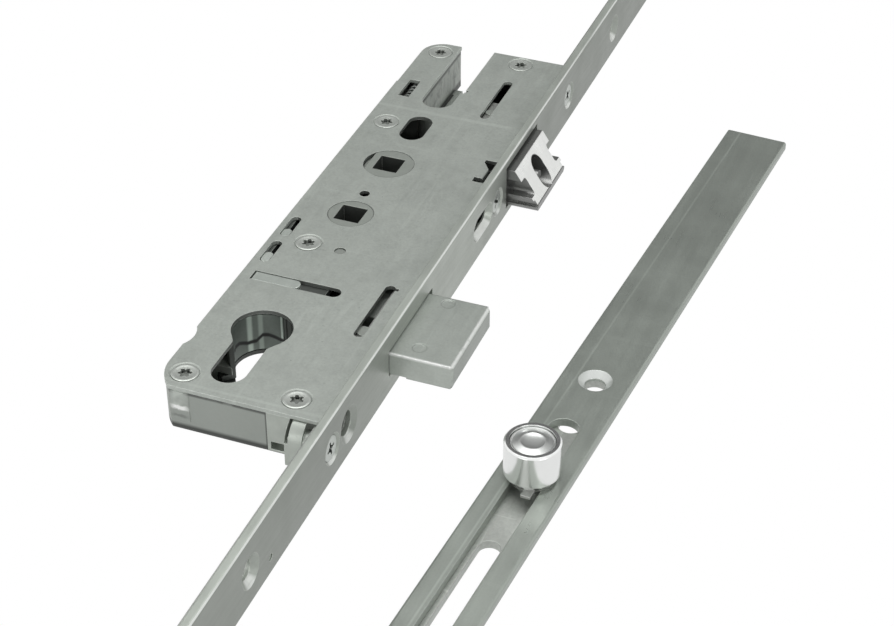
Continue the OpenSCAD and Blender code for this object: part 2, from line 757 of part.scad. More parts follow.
module upper_follower() {
    color([0.66, 0.67, 0.65]) translate([cx, upper_y, 0]) difference() {
        union() {
            rod_z(0, 0, 0.1 - half_t, half_t - 0.1, upper_hub_r);
            rod_z(0, 0, -3.4, 3.4, 8.9);
        }
        box(-far - upper_hub_r, -6.2, -far * 2, far * 2, roof_z - 0.1, half_t + far);
        box(-square_w / 2, square_w / 2, -square_w / 2, square_w / 2, -far * 2, far * 2);
    }
}

// Toothed sector on the upper follower, which lifts both rails
module lift_sector() {
    color([0.62, 0.63, 0.61]) translate([cx, upper_y, 0]) difference() {
        sheet(high_z0, high_z1) {
            gear_outline(sector_teeth, 0, -7, 1, true);
            circle(r = 9.1, $fn = 64);
        }
        rod_z(0, 0, 0, far * 2, upper_hub_r + 0.03);
    }
}

module lower_follower() {
    color([0.66, 0.67, 0.65]) translate([cx, lower_y, 0]) difference() {
        union() {
            rod_z(0, 0, 0.1 - half_t, half_t - 0.1, lower_hub_r);
            rod_z(0, 0, -mid_z, mid_z, 8.4);
        }
        box(-square_w / 2, square_w / 2, -square_w / 2, square_w / 2, -far * 2, far * 2);
    }
}

// Finger on the lower follower that draws the latch back
module latch_lever() {
    color([0.62, 0.63, 0.61]) translate([cx, lower_y, 0]) difference() {
        sheet(low_z0, -mid_z) {
            circle(r = 9, $fn = 64);
            rect(-tip_r, tip_r, 0, lever_r);
            translate([0, lever_r]) circle(r = tip_r, $fn = 32);
        }
        rod_z(0, 0, -far * 2, far, lower_hub_r + 0.03);
    }
}

// Cast latch head: waisted sides, an oval core hole and a slope
module latch_outline() {
    y0 = latch_y;
    y1 = latch_top;
    w = 3.2;
    difference() {
        rect(y0, y1, latch_z0, latch_z1);
        // Grooves in both sides between the two flanges
        for (s = [0, 1]) translate([s * (y0 + y1), 0]) mirror([s, 0]) {
            rect(y0 - far, y0 + w - 1, -2.4, 2.9);
            translate([y0 + w - 1, -1.4]) circle(r = 1, $fn = 24);
            translate([y0 + w - 1, 1.9]) circle(r = 1, $fn = 24);
            rect(y0 + w - 1 - e, y0 + w, -1.4, 1.9);
            polygon([[y0 - e, latch_z0 - e], [y0 + 0.7, latch_z0 - e], [y0 - e, latch_z0 + 0.7]]);
            rect(y0 - far, y0 + 1, -5.4, -3.4);
        }
    }
}

module latch_slope() {
    x0 = latch_flat;
    x1 = latch_out - 0.3;
    z1 = latch_z0 + latch_toe;
    along_y(latch_y - far, latch_top + far) polygon([[x0, latch_z1 + e], [x0, latch_z1 + far],
        [x1 + far, latch_z1 + far], [x1 + far, z1], [x1, z1], [x0 + 0.3, latch_z1 - 0.2]]);
}

module latch_head() {
    y = latch_mid_y;
    color([0.86, 0.87, 0.85]) difference() {
        union() {
            difference() {
                along_x(latch_root_x, latch_out) latch_outline();
                latch_slope();
                // Oval core hole, open on the slope and closed at the back
                along_x(latch_root_x + 2, latch_out + far) slot(y - 3.55, y + 3.55, -5.1, 4.7);
            }
            // Round boss inside the core hole
            rod_x(latch_root_x + 1, 6.2, y - 1.2, -1.9, 2.2);
            // Stem that carries the latch into the case
            box(-19.5, latch_root_x + e, latch_y + 1, latch_y + 6.5, low_z1, mid_z);
        }
        // Seat of the latch spring in the back of the head
        rod_x(latch_root_x - far, latch_spring_x1, y + 1.1, 0, latch_spring_d / 2 + 0.3);
    }
}

// Flat carriage that the lever's finger pushes on
module latch_carriage() {
    x1 = arm_x1;
    color([0.62, 0.63, 0.61]) difference() {
        sheet(low_z0, low_z1) {
            rect(arm_x0, x1, carriage_y, latch_y + 6.5);
            rect(lug_x - 2.9, x1, carriage_y, carriage_y + 3.5);
            rect(lug_x - 2.9, lug_x, lower_y + 9, carriage_y + 1);
            rect(-19.5, arm_x0 + e, latch_y + 1, latch_y + 6.5);
        }
        for (x = [-17.6, -14.6])
            rod_z(x, latch_y + 3.75, low_z0 - far, low_z1 + far, 0.8);
    }
}

module latch_rivets() {
    color([0.72, 0.73, 0.71]) for (x = [-17.6, -14.6])
        rod_z(x, latch_y + 3.75, low_z0, low_z1, 0.77);
}

module deadbolt() {
    b = bolt_bevel;
    x1 = bolt_out;
    color([0.78, 0.79, 0.77]) difference() {
        union() {
            box(bolt_root_x, x1, bolt_y, bolt_top, -mid_z, mid_z);
            box(-20, bolt_root_x + e, rack_y - 0.5, bolt_top - 1, -mid_z, mid_z);
        }
        // Bevels round the outer face
        for (s = [-1, 1]) {
            along_y(bolt_y - far, bolt_top + far)
                polygon([[x1 - b, s * (mid_z + e)], [x1 + e, s * (mid_z + e)], [x1 + e, s * (mid_z - b)]]);
        }
        along_y(bolt_y - far, bolt_top + far)
            polygon([[x1 - b, nose_z - e], [x1 + e, nose_z - e], [x1 + e, nose_z + b]]);
        for (s = [-1, 1]) {
            sheet(-far * 2, far * 2) translate([0, bolt_y + bolt_h / 2])
                polygon([[x1 - b, s * (bolt_h / 2 + e)], [x1 + e, s * (bolt_h / 2 + e)],
                    [x1 + e, s * (bolt_h / 2 - b)]]);
        }
        // The thrown part is thinner underneath than its tail
        box(-1, far, bolt_y - far, bolt_top + far, -mid_z - far, nose_z);
        // Round marks left by the casting's ejector pins
        for (y = [bolt_y + 5.3, bolt_top - 2.8]) rod_z(6.9, y, mid_z - 0.25, mid_z + far, 2);
        for (p = [[-11, 31], [-17, 31]]) rod_z(p[0], p[1], -far * 2, far * 2, 1.4);
    }
}

// Sheet tail under the deadbolt, toothed along its lower edge
module deadbolt_rack() {
    phase_x = idler_x + idler_r * (90 - (idler_phase - 180)) * PI / 180;
    y0 = rack_y + dedendum * gear_m;
    color([0.62, 0.63, 0.61]) difference() {
        sheet(low_z0, -mid_z) {
            rect(-29.6, bolt_root_x - 0.2, y0, bolt_top - 1);
            intersection() {
                translate([phase_x, y0]) rotate(180) rack_teeth(-12, 12, 0);
                rect(-29.6, bolt_root_x - 0.2, y0 - far, y0 + 1);
            }
        }
        for (p = [[-11, 31], [-17, 31]]) rod_z(p[0], p[1], -far * 2, far * 2, 1.4);
    }
}

module deadbolt_rivets() {
    color([0.7, 0.71, 0.69]) for (p = [[-11, 31], [-17, 31]])
        rod_z(p[0], p[1], low_z0, mid_z, 1.37);
}

// Open cam ring: a fluted wall round the cylinder on a toothed flange
module cam_ring() {
    color([0.74, 0.75, 0.73]) translate([cx, 0, 0]) difference() {
        union() {
            sheet(low_z0, low_z1) gear_outline(ring_teeth, mesh_a, 0, ring_teeth - 1, false);
            rod_z(0, 0, low_z0, roof_z - 0.3, ring_hub_r);
        }
        rod_z(0, 0, -far * 2, far * 2, ring_in_r);
        for (i = [0 : 17]) rotate(-45 + i * 270 / 17)
            rod_z(ring_in_r + 0.1, 0, low_z0 + 1.2, far * 2, 0.6);
        // Gap that the cylinder's narrow part passes through
        sheet(-far * 2, far * 2) polygon([[0, 0], 20 * [sin(ring_open / 2), -cos(ring_open / 2)],
            [0, -25], 20 * [-sin(ring_open / 2), -cos(ring_open / 2)]]);
    }
}

module idler_gear() {
    color([0.74, 0.75, 0.73]) translate([idler_x, idler_y, 0]) difference() {
        sheet(low_z0, low_z1) gear_outline(idler_teeth, idler_phase, 0, idler_teeth - 1, false);
        rod_z(0, 0, -far * 2, 0, 1.5 + turn_gap);
    }
}

// Sprung bar along the rear wall, with two pads that show in the small slots
module rear_bar() {
    x0 = inner_rear + 0.2;
    x1 = x0 + 1.2;
    color([0.7, 0.71, 0.69]) {
        box(x0, x1, 28, finger_spring_y0 - 0.2, -1, head_z1);
        sheet(high_z0, head_z1) {
            rect(x0, rear_x + 4.8, 44.2, 48);
            rect(x0, rear_x + 4.8, 30.1, 35.3);
        }
        sheet(head_z1 - e, half_t - 0.25) {
            slot(rear_x + 2.15, rear_x + 4.75, 44.3, 48.2);
            slot(rear_x + 2.15, rear_x + 4.75, 30.2, 35.2);
        }
        box(x0, rear_x + 7.6, finger_spring_y0 - 2.9, finger_spring_y0 - 0.2, 1.2, head_z1);
    }
}

// Cross slide under the cover, with a raised rib in the long slot
module blocking_slide() {
    color([0.66, 0.68, 0.65]) {
        sheet(high_z0, head_z1) rect(rear_x + 4, rear_x + 26.3, cross_y - 4.45, cross_y + 4.45);
        sheet(head_z1 - e, half_t - 0.2) {
            rect(rear_x + 4, rear_x + 16.5, cross_y - 1.9, cross_y + 1.9);
            translate([rear_x + 16.5, cross_y]) circle(r = 1.9, $fn = 32);
        }
    }
}

// Places a piece of the roller length where that length lies
module on_roller_length() {
    translate([roller_x, 0, 0]) rotate([0, 0, -roller_turn]) children();
}

module roller_faceplate() {
    z1 = roller_face_z;
    w = strip_w / 2;
    r = strip_round;
    slot_low = roller_below - 12;
    color([0.52, 0.55, 0.51]) on_roller_length() difference() {
        along_y(-roller_below, roller_above) {
            rect(-w, w, z1 - strip_t, z1 - r);
            rect(r - w, w - r, z1 - r - e, z1);
            for (s = [-1, 1]) translate([s * (w - r), z1 - r]) circle(r = r, $fn = 32);
        }
        sheet(-20, 20) slot(-roller_slot_w / 2, roller_slot_w / 2, -slot_low,
            -roller_drop + rail_travel + 8.1);
        rod_z(0, roller_fix_s, -20, 20, fixing_r);
        translate([0, roller_fix_s, z1 - strip_t + hole_land])
            cylinder(h = strip_t - hole_land, r1 = fixing_r, r2 = fixing_mouth_r, $fn = 48);
    }
}

module roller_rail() {
    z0 = roller_floor;
    color([0.62, 0.64, 0.61]) on_roller_length() difference() {
        box(-rail_w / 2, rail_w / 2, 4 - roller_below, roller_above - rail_travel - 2,
            z0, z0 + rail_t);
        rod_z(0, -roller_drop, -20, 20, pin_r);
        sheet(-20, 20) {
            slot(-3, 3, 16 - roller_below, -roller_drop - 24.2);
            slot(-rail_slot_wide / 2, rail_slot_wide / 2,
                roller_fix_s - rail_travel - 3.5, roller_fix_s + 3.5);
        }
    }
}

roller_top_z = roller_face_z + roller_h;

// Pin with a dished head, set into the sleeve's top
module roller_pin() {
    z1 = roller_top_z - 0.1;
    r = pin_head_r;
    color([0.86, 0.87, 0.85]) on_roller_length() translate([0, -roller_drop, 0]) difference() {
        union() {
            rod_z(0, 0, roller_floor + 0.2, z1 - 3, pin_r);
            rod_z(0, 0, z1 - 3.1, z1, r);
        }
        // Dish round a domed centre
        translate([0, 0, z1 - 1]) rotate_extrude($fn = 64)
            polygon([[2.4, 0], [4.6, 0], [r - 0.9, 1 + e], [3.2, 1 + e]]);
        translate([0, 0, z1 - 0.5]) rotate_extrude($fn = 64)
            polygon([[1.1, 0.5 + e], [1.6, 0], [2, 0], [2.4, 0.5 + e]]);
        // Index tick on the rim
        box(-0.35, 0.35, r - 0.8, r + 1, z1 - 0.3, z1 + 1);
    }
}

module roller_washer() {
    z0 = roller_face_z + 0.05;
    color([0.7, 0.71, 0.69]) on_roller_length() translate([0, -roller_drop, 0]) difference() {
        union() {
            rod_z(0, 0, z0, z0 + 0.8, 6.1);
            box(0.4, 3.2, -8.7, 0, z0, z0 + 0.8);
        }
        rod_z(0, 0, -20, 20, pin_r + 0.03);
    }
}

module roller_sleeve() {
    z0 = roller_face_z + 0.9;
    z1 = roller_top_z;
    c = 0.5;
    color([0.9, 0.91, 0.89]) on_roller_length() translate([0, -roller_drop, 0]) difference() {
        rotate_extrude($fn = 96) polygon([[pin_r + turn_gap, z0], [sleeve_r - 1, z0],
            [sleeve_r, z0 + 1.6], [sleeve_r, z1 - c], [sleeve_r - c, z1], [pin_r + turn_gap, z1]]);
        rod_z(0, 0, z1 - 3.4, z1 + far, pin_head_r + 0.12);
    }
}

faceplate();
case_base();
case_cover();
cover_screws();
cover_posts();
zinc_foot();
faceplate_screws();
top_screw_block();
mid_screw_block();
ring_guide();
idler_pin();
guide_stud();
roller_faceplate();
finger_spring();
latch_spring();
lower_rail();
upper_rail();
drive_plate();
drive_rivets();
roller_rail();
roller_pin();
roller_washer();
roller_sleeve();
upper_follower();
lift_sector();
lower_follower();
latch_lever();
latch_head();
latch_carriage();
latch_rivets();
deadbolt();
deadbolt_rack();
deadbolt_rivets();
cam_ring();
idler_gear();
rear_bar();
blocking_slide();
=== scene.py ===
import json
import math
import bpy
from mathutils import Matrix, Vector


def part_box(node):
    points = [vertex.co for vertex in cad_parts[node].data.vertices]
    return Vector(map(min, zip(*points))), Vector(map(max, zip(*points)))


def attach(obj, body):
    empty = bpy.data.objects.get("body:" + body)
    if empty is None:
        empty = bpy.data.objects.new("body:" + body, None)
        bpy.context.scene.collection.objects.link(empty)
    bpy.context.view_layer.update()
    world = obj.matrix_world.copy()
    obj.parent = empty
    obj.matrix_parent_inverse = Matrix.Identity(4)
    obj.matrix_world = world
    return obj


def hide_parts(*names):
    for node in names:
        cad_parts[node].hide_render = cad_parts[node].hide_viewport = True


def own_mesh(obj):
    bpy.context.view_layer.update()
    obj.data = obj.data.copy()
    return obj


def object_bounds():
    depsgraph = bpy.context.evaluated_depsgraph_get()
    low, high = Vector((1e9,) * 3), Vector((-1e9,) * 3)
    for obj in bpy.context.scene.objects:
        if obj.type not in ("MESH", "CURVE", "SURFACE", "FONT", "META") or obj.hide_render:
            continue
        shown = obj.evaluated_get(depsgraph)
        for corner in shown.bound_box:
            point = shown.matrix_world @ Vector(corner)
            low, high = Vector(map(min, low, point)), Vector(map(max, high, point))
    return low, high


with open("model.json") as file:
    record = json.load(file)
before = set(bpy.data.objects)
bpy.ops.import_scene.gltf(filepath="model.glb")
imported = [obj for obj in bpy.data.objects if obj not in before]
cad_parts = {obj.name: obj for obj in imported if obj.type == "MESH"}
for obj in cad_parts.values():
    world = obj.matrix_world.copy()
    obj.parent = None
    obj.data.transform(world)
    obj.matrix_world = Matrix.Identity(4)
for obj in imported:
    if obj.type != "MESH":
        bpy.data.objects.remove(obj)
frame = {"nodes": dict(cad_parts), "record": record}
cad_low, cad_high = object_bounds()

NODES = frame["nodes"]

# Directions that faces look in
UP = (0, 0, 1)
FRONT = (1, 0, 0)
SLOPE = (0.707, 0, 0.707)

# Line of the cylinder and the followers (x), and each follower's y and hub radius
CASE_AXIS_X = -0.035
FOLLOWERS = ((0.092, 0.0079), (0.062, 0.00695))

# Middle of the roller length at y = 0 (x), and its slant
ROLLER_X = 0.05175
TURN = math.radians(3.9)

# Colours of metal rubbed bright and of painted highlights, and of a dark seam
BEND_HIGHLIGHT = (0.95, 0.96, 0.94, 1)
PLATE_WEAR_AND_HIGHLIGHT = (0.86, 0.88, 0.85, 1)
BOLT_WEAR_AND_HIGHLIGHT = (0.93, 0.94, 0.92, 1)
CONE_BRIGHT = (0.7, 0.72, 0.7, 1)
SEAM_DARK = (0.01, 0.012, 0.01, 1)

scene = bpy.context.scene
scene.view_settings.view_transform = "Standard"


# --------------------------------------------------------- material helpers

def new_group(name, inputs, outputs):
    g = bpy.data.node_groups.new(name, "ShaderNodeTree")
    for n, kind, value in inputs:
        s = g.interface.new_socket(n, in_out="INPUT", socket_type=kind)
        s.default_value = value
    for n, kind in outputs:
        g.interface.new_socket(n, in_out="OUTPUT", socket_type=kind)
    return g, g.nodes.new("NodeGroupInput"), g.nodes.new("NodeGroupOutput")


def calc(nt, op, a, b=None, clamp=False):
    n = nt.nodes.new("ShaderNodeMath")
    n.operation = op
    n.use_clamp = clamp
    for i, v in enumerate((a, b)):
        if v is None:
            continue
        if isinstance(v, (int, float)):
            n.inputs[i].default_value = v
        else:
            nt.links.new(v, n.inputs[i])
    return n.outputs[0]


def times(nt, a, b):
    return calc(nt, "MULTIPLY", a, b)


def away_from(nt, value, place):
    return calc(nt, "ABSOLUTE", calc(nt, "SUBTRACT", value, place))


def inverse(nt, mask):
    return calc(nt, "SUBTRACT", 1.0, mask)


def noise(nt, vec, scale, detail=4.0, rough=0.55):
    n = nt.nodes.new("ShaderNodeTexNoise")
    n.inputs["Scale"].default_value = scale
    n.inputs["Detail"].default_value = detail
    n.inputs["Roughness"].default_value = rough
    nt.links.new(vec, n.inputs["Vector"])
    return n.outputs["Fac"]


def placed(nt, scale=(1, 1, 1), turn=0.0, shift=(0, 0, 0)):
    c = nt.nodes.new("ShaderNodeTexCoord")
    m = nt.nodes.new("ShaderNodeMapping")
    m.inputs["Scale"].default_value = scale
    m.inputs["Rotation"].default_value = (0, 0, turn)
    m.inputs["Location"].default_value = shift
    nt.links.new(c.outputs["Object"], m.inputs["Vector"])
    return m.outputs["Vector"]


def split(nt, vec):
    n = nt.nodes.new("ShaderNodeSeparateXYZ")
    nt.links.new(vec, n.inputs[0])
    return n.outputs[0], n.outputs[1], n.outputs[2]


def ramp(nt, fac, lo, hi):
    n = nt.nodes.new("ShaderNodeMapRange")
    n.inputs["From Min"].default_value = lo
    n.inputs["From Max"].default_value = hi
    n.clamp = True
    nt.links.new(fac, n.inputs["Value"])
    return n.outputs["Result"]


def mix(nt, fac, a, b):
    n = nt.nodes.new("ShaderNodeMix")
    n.data_type = "RGBA"
    for i, v in ((0, fac), (6, a), (7, b)):
        if isinstance(v, (int, float, tuple)):
            n.inputs[i].default_value = v
        else:
            nt.links.new(v, n.inputs[i])
    return n.outputs[2]


def line_mask(nt, value, centre, half):
    # 1 on a line where value is within half of centre, fading to 0
    far = away_from(nt, value, centre)
    return calc(nt, "SUBTRACT", 1.0, ramp(nt, far, half * 0.4, half), True)


def facing(nt, direction, lo, hi):
    # 1 on surfaces that face this way
    geo = nt.nodes.new("ShaderNodeNewGeometry")
    dot = nt.nodes.new("ShaderNodeVectorMath")
    dot.operation = "DOT_PRODUCT"
    nt.links.new(geo.outputs["Normal"], dot.inputs[0])
    dot.inputs[1].default_value = direction
    return ramp(nt, dot.outputs["Value"], lo, hi)


def both(nt, *masks):
    # 1 where every mask is 1
    out = masks[0]
    for m in masks[1:]:
        out = times(nt, out, m)
    return out


def under(nt, value, lo, hi):
    # 1 where value is below lo, 0 above hi
    return inverse(nt, ramp(nt, value, lo, hi))


# What a metal group gives to the material
SURFACE = [("Color", "NodeSocketColor"), ("Roughness", "NodeSocketFloat"),
           ("Height", "NodeSocketFloat")]


# Plated sheet: cloudy plating, drawn streaks along Y, stains and fine scratches
def plated_group():
    g, gi, go = new_group("plated", [
        ("Tone", "NodeSocketColor", (0.5, 0.5, 0.5, 1)),
        ("Dark", "NodeSocketColor", (0.4, 0.4, 0.4, 1)),
        ("Pale", "NodeSocketColor", (0.7, 0.7, 0.7, 1)),
        ("Cloud", "NodeSocketFloat", 0.5),
        ("Streak", "NodeSocketFloat", 0.5),
        ("Scratch", "NodeSocketFloat", 0.3),
        ("Rough", "NodeSocketFloat", 0.4)], SURFACE)
    plain = placed(g)
    drawn = placed(g, (1, 0.035, 1))
    slant = placed(g, (0.06, 1, 1), 0.5)
    slant_b = placed(g, (1, 0.08, 1), -0.7)
    cloud = ramp(g, noise(g, plain, 55, 5, 0.62), 0.34, 0.7)
    cloud_b = ramp(g, noise(g, plain, 190, 4, 0.6), 0.38, 0.68)
    fine = ramp(g, noise(g, plain, 1400, 3, 0.6), 0.3, 0.7)
    streak = ramp(g, noise(g, drawn, 900, 4, 0.6), 0.36, 0.66)
    s1 = ramp(g, noise(g, drawn, 620, 2, 0.4), 0.67, 0.72)
    s2 = ramp(g, noise(g, slant, 380, 2, 0.4), 0.69, 0.74)
    s3 = ramp(g, noise(g, slant_b, 300, 2, 0.4), 0.69, 0.73)
    scratch = times(g, calc(g, "MAXIMUM", s1, calc(g, "MAXIMUM", s2, s3)), gi.outputs["Scratch"])
    spot = ramp(g, noise(g, plain, 330, 3, 0.6), 0.68, 0.76)
    clouds = calc(g, "ADD", times(g, cloud, 0.6), times(g, cloud_b, 0.4))
    c = mix(g, times(g, clouds, gi.outputs["Cloud"]), gi.outputs["Tone"], gi.outputs["Dark"])
    c = mix(g, times(g, streak, gi.outputs["Streak"]), c, gi.outputs["Dark"])
    c = mix(g, times(g, fine, 0.3), c, gi.outputs["Pale"])
    c = mix(g, times(g, spot, times(g, gi.outputs["Cloud"], 0.55)), c, gi.outputs["Dark"])
    c = mix(g, scratch, c, gi.outputs["Pale"])
    g.links.new(c, go.inputs["Color"])
    r = calc(g, "ADD", gi.outputs["Rough"], times(g, calc(g, "SUBTRACT", cloud, 0.5), 0.14))
    r = calc(g, "ADD", r, times(g, calc(g, "SUBTRACT", streak, 0.5), 0.08), True)
    g.links.new(r, go.inputs["Roughness"])
    h = calc(g, "ADD", times(g, streak, 0.3), times(g, cloud_b, 0.5))
    h = calc(g, "SUBTRACT", h, times(g, scratch, 0.8))
    g.links.new(h, go.inputs["Height"])
    return g


# Cast or turned metal: soft clouds, pits and a faint grain
def cast_group():
    g, gi, go = new_group("cast", [
        ("Tone", "NodeSocketColor", (0.8, 0.8, 0.8, 1)),
        ("Dark", "NodeSocketColor", (0.6, 0.6, 0.6, 1)),
        ("Cloud", "NodeSocketFloat", 0.3),
        ("Pit", "NodeSocketFloat", 0.3),
        ("Rough", "NodeSocketFloat", 0.3)], SURFACE)
    plain = placed(g)
    cloud = ramp(g, noise(g, plain, 120, 5, 0.6), 0.35, 0.68)
    grain = ramp(g, noise(g, plain, 700, 3, 0.55), 0.35, 0.7)
    pit = times(g, ramp(g, noise(g, plain, 420, 2, 0.5), 0.66, 0.76), gi.outputs["Pit"])
    c = mix(g, times(g, cloud, gi.outputs["Cloud"]), gi.outputs["Tone"], gi.outputs["Dark"])
    c = mix(g, times(g, grain, 0.12), c, gi.outputs["Dark"])
    c = mix(g, pit, c, gi.outputs["Dark"])
    g.links.new(c, go.inputs["Color"])
    r = calc(g, "ADD", gi.outputs["Rough"], times(g, calc(g, "SUBTRACT", cloud, 0.5), 0.1), True)
    g.links.new(r, go.inputs["Roughness"])
    h = calc(g, "SUBTRACT", times(g, grain, 0.25), pit)
    g.links.new(h, go.inputs["Height"])
    return g


# Bright edges, rubbed and with a painted highlight, found by comparing a rounded normal with the
# true one
def edge_group():
    g, gi, go = new_group("worn_edge_and_highlight", [("Radius", "NodeSocketFloat", 0.0004)],
                          [("Mask", "NodeSocketFloat")])
    bv = g.nodes.new("ShaderNodeBevel")
    bv.samples = 6
    g.links.new(gi.outputs["Radius"], bv.inputs["Radius"])
    geo = g.nodes.new("ShaderNodeNewGeometry")
    dot = g.nodes.new("ShaderNodeVectorMath")
    dot.operation = "DOT_PRODUCT"
    g.links.new(bv.outputs["Normal"], dot.inputs[0])
    g.links.new(geo.outputs["Normal"], dot.inputs[1])
    g.links.new(ramp(g, inverse(g, dot.outputs["Value"]), 0.015, 0.12), go.inputs["Mask"])
    return g


PLATED = plated_group()
CAST = cast_group()
EDGE = edge_group()


BUMP_DEPTH = 0.00006


def rgba(c, k=1.0):
    return (min(1, c[0] * k), min(1, c[1] * k), min(1, c[2] * k), 1)


def metal(name, tone, rough=0.45, metallic=0.6, kind="plated", cloud=0.5, streak=0.3, scratch=0.3,
          pit=0.3, dark=0.8, pale=1.2, bump=0.1, edge=0.00025, wear_and_highlight=0.5, marks=None):
    m = bpy.data.materials.new(name)
    m.use_nodes = True
    nt = m.node_tree
    b = nt.nodes["Principled BSDF"]
    g = nt.nodes.new("ShaderNodeGroup")
    g.node_tree = PLATED if kind == "plated" else CAST
    g.inputs["Tone"].default_value = rgba(tone)
    g.inputs["Dark"].default_value = rgba(tone, dark)
    g.inputs["Cloud"].default_value = cloud
    g.inputs["Rough"].default_value = rough
    if kind == "plated":
        g.inputs["Pale"].default_value = rgba(tone, pale)
        g.inputs["Streak"].default_value = streak
        g.inputs["Scratch"].default_value = scratch
    else:
        g.inputs["Pit"].default_value = pit
    color, height = g.outputs["Color"], g.outputs["Height"]
    if marks:
        color, height = marks(nt, color, height, tone)
    # Edges brightened: partly wear, partly a painted highlight
    if wear_and_highlight:
        w = nt.nodes.new("ShaderNodeGroup")
        w.node_tree = EDGE
        w.inputs["Radius"].default_value = edge * 1.4
        color = mix(nt, times(nt, w.outputs["Mask"], wear_and_highlight), color, rgba(tone, 1.5))
    nt.links.new(color, b.inputs["Base Color"])
    nt.links.new(g.outputs["Roughness"], b.inputs["Roughness"])
    b.inputs["Metallic"].default_value = metallic
    bp = nt.nodes.new("ShaderNodeBump")
    bp.inputs["Strength"].default_value = bump
    bp.inputs["Distance"].default_value = BUMP_DEPTH
    nt.links.new(height, bp.inputs["Height"])
    bv = nt.nodes.new("ShaderNodeBevel")
    bv.samples = 6
    bv.inputs["Radius"].default_value = edge
    nt.links.new(bv.outputs["Normal"], bp.inputs["Normal"])
    nt.links.new(bp.outputs["Normal"], b.inputs["Normal"])
    return m


# ------------------------------------------------------- marks of the single parts

def tint(nt, color, tone, mask, share, bright):
    # Towards the tone at this brightness, by this share of the mask
    return mix(nt, times(nt, mask, share), color, rgba(tone, bright))


# Cover: a joggle below the notch, a crease near the foot, painted shade on the sides of its holes,
# stains
def cover_marks(nt, color, height, tone):
    x, y, _ = split(nt, placed(nt))
    wavy = calc(nt, "SUBTRACT", y, times(nt, noise(nt, placed(nt), 40, 2, 0.5), 0.0016))
    joggle = both(nt, line_mask(nt, wavy, 0.1247, 0.0011), under(nt, x, -0.008, -0.005))
    crease = line_mask(nt, wavy, -0.0302, 0.0007)
    color = tint(nt, color, tone, joggle, 0.45, 1.2)
    color = tint(nt, color, tone, crease, 0.4, 1.2)
    # Painted shade on the sides of the cover's holes
    hole_side_shade = both(nt, under(nt, away_from(nt, x, -0.0255), 0.0232, 0.0236),
                     under(nt, away_from(nt, y, 0.052), 0.080, 0.081),
                     inverse(nt, facing(nt, UP, 0.5, 0.8)))
    color = tint(nt, color, tone, hole_side_shade, 0.85, 0.22)
    stain = both(nt, ramp(nt, noise(nt, placed(nt), 75, 5, 0.7), 0.55, 0.72),
                 ramp(nt, noise(nt, placed(nt), 700, 3, 0.6), 0.3, 0.6))
    color = tint(nt, color, tone, stain, 0.5, 0.66)
    speck = ramp(nt, noise(nt, placed(nt), 900, 2, 0.5), 0.71, 0.76)
    color = tint(nt, color, tone, speck, 0.5, 0.55)
    return color, calc(nt, "ADD", height, times(nt, joggle, 0.8))


# The tray's walls: painted shade on the end wall, a dark seam of painted shade under the cover and
# at the wall's cut end, a shaded bend at the foot, the folded lip lighter above a painted highlight
# on its bend with painted shadow below, and stains on the notch's wall
def wall_marks(nt, color, height, tone):
    x, y, z = split(nt, placed(nt))
    vary = ramp(nt, noise(nt, placed(nt), 240, 2, 0.5), 0.3, 0.55)
    side = facing(nt, FRONT, 0.4, 0.8)
    # Painted shade: the end wall is darkened
    end = facing(nt, (0, -1, 0), 0.4, 0.8)
    color = tint(nt, color, tone, end, 0.75, 0.74)
    # Painted shade under the cover and at the top of the front faces
    seam = calc(nt, "MAXIMUM",
                both(nt, ramp(nt, z, 0.0050, 0.0055), calc(nt, "MAXIMUM", vary, 0.6)),
                both(nt, ramp(nt, z, 0.0044, 0.0050), side))
    color = tint(nt, color, tone, seam, 0.85, 0.2)
    # Painted shade along the end wall's cut edge beside the zinc block
    cut_end_shade = both(nt, end, line_mask(nt, x, -0.0193, 0.0005))
    color = tint(nt, color, tone, cut_end_shade, 0.8, 0.25)
    wall = both(nt, facing(nt, UP, -0.95, -0.8), under(nt, z, 0.0061, 0.0063))
    foot = calc(nt, "MAXIMUM", both(nt, wall, under(nt, z, -0.0056, -0.0045)),
                both(nt, side, under(nt, z, -0.0060, -0.0050)))
    color = tint(nt, color, tone, foot, 0.9, 0.1)
    wobble = times(nt, calc(nt, "SUBTRACT", noise(nt, placed(nt), 600, 2, 0.6), 0.5), 0.0014)
    level = calc(nt, "ADD", z, wobble)
    lip = both(nt, line_mask(nt, x, -0.04485, 0.0032), under(nt, y, -0.0313, -0.0311))
    upper = both(nt, lip, vary, ramp(nt, z, 0.0, 0.001))
    color = mix(nt, upper, color, rgba(tone, 1.2))
    # Painted highlight on the lip's bend, painted shadow below it
    color = mix(nt, both(nt, lip, line_mask(nt, level, 0.0006, 0.0010)), color, BEND_HIGHLIGHT)
    below = both(nt, lip, line_mask(nt, level, -0.0022, 0.0007))
    color = tint(nt, color, tone, below, 0.48, 0.3)
    notch = both(nt, side, ramp(nt, y, 0.134, 0.1345))
    run = ramp(nt, noise(nt, placed(nt, (1, 1, 0.3)), 420, 4, 0.65), 0.5, 0.68)
    blot = ramp(nt, noise(nt, placed(nt), 260, 3, 0.6), 0.54, 0.7)
    stain = both(nt, notch, calc(nt, "MAXIMUM", run, blot))
    color = tint(nt, color, tone, stain, 0.88, 0.42)
    return color, height


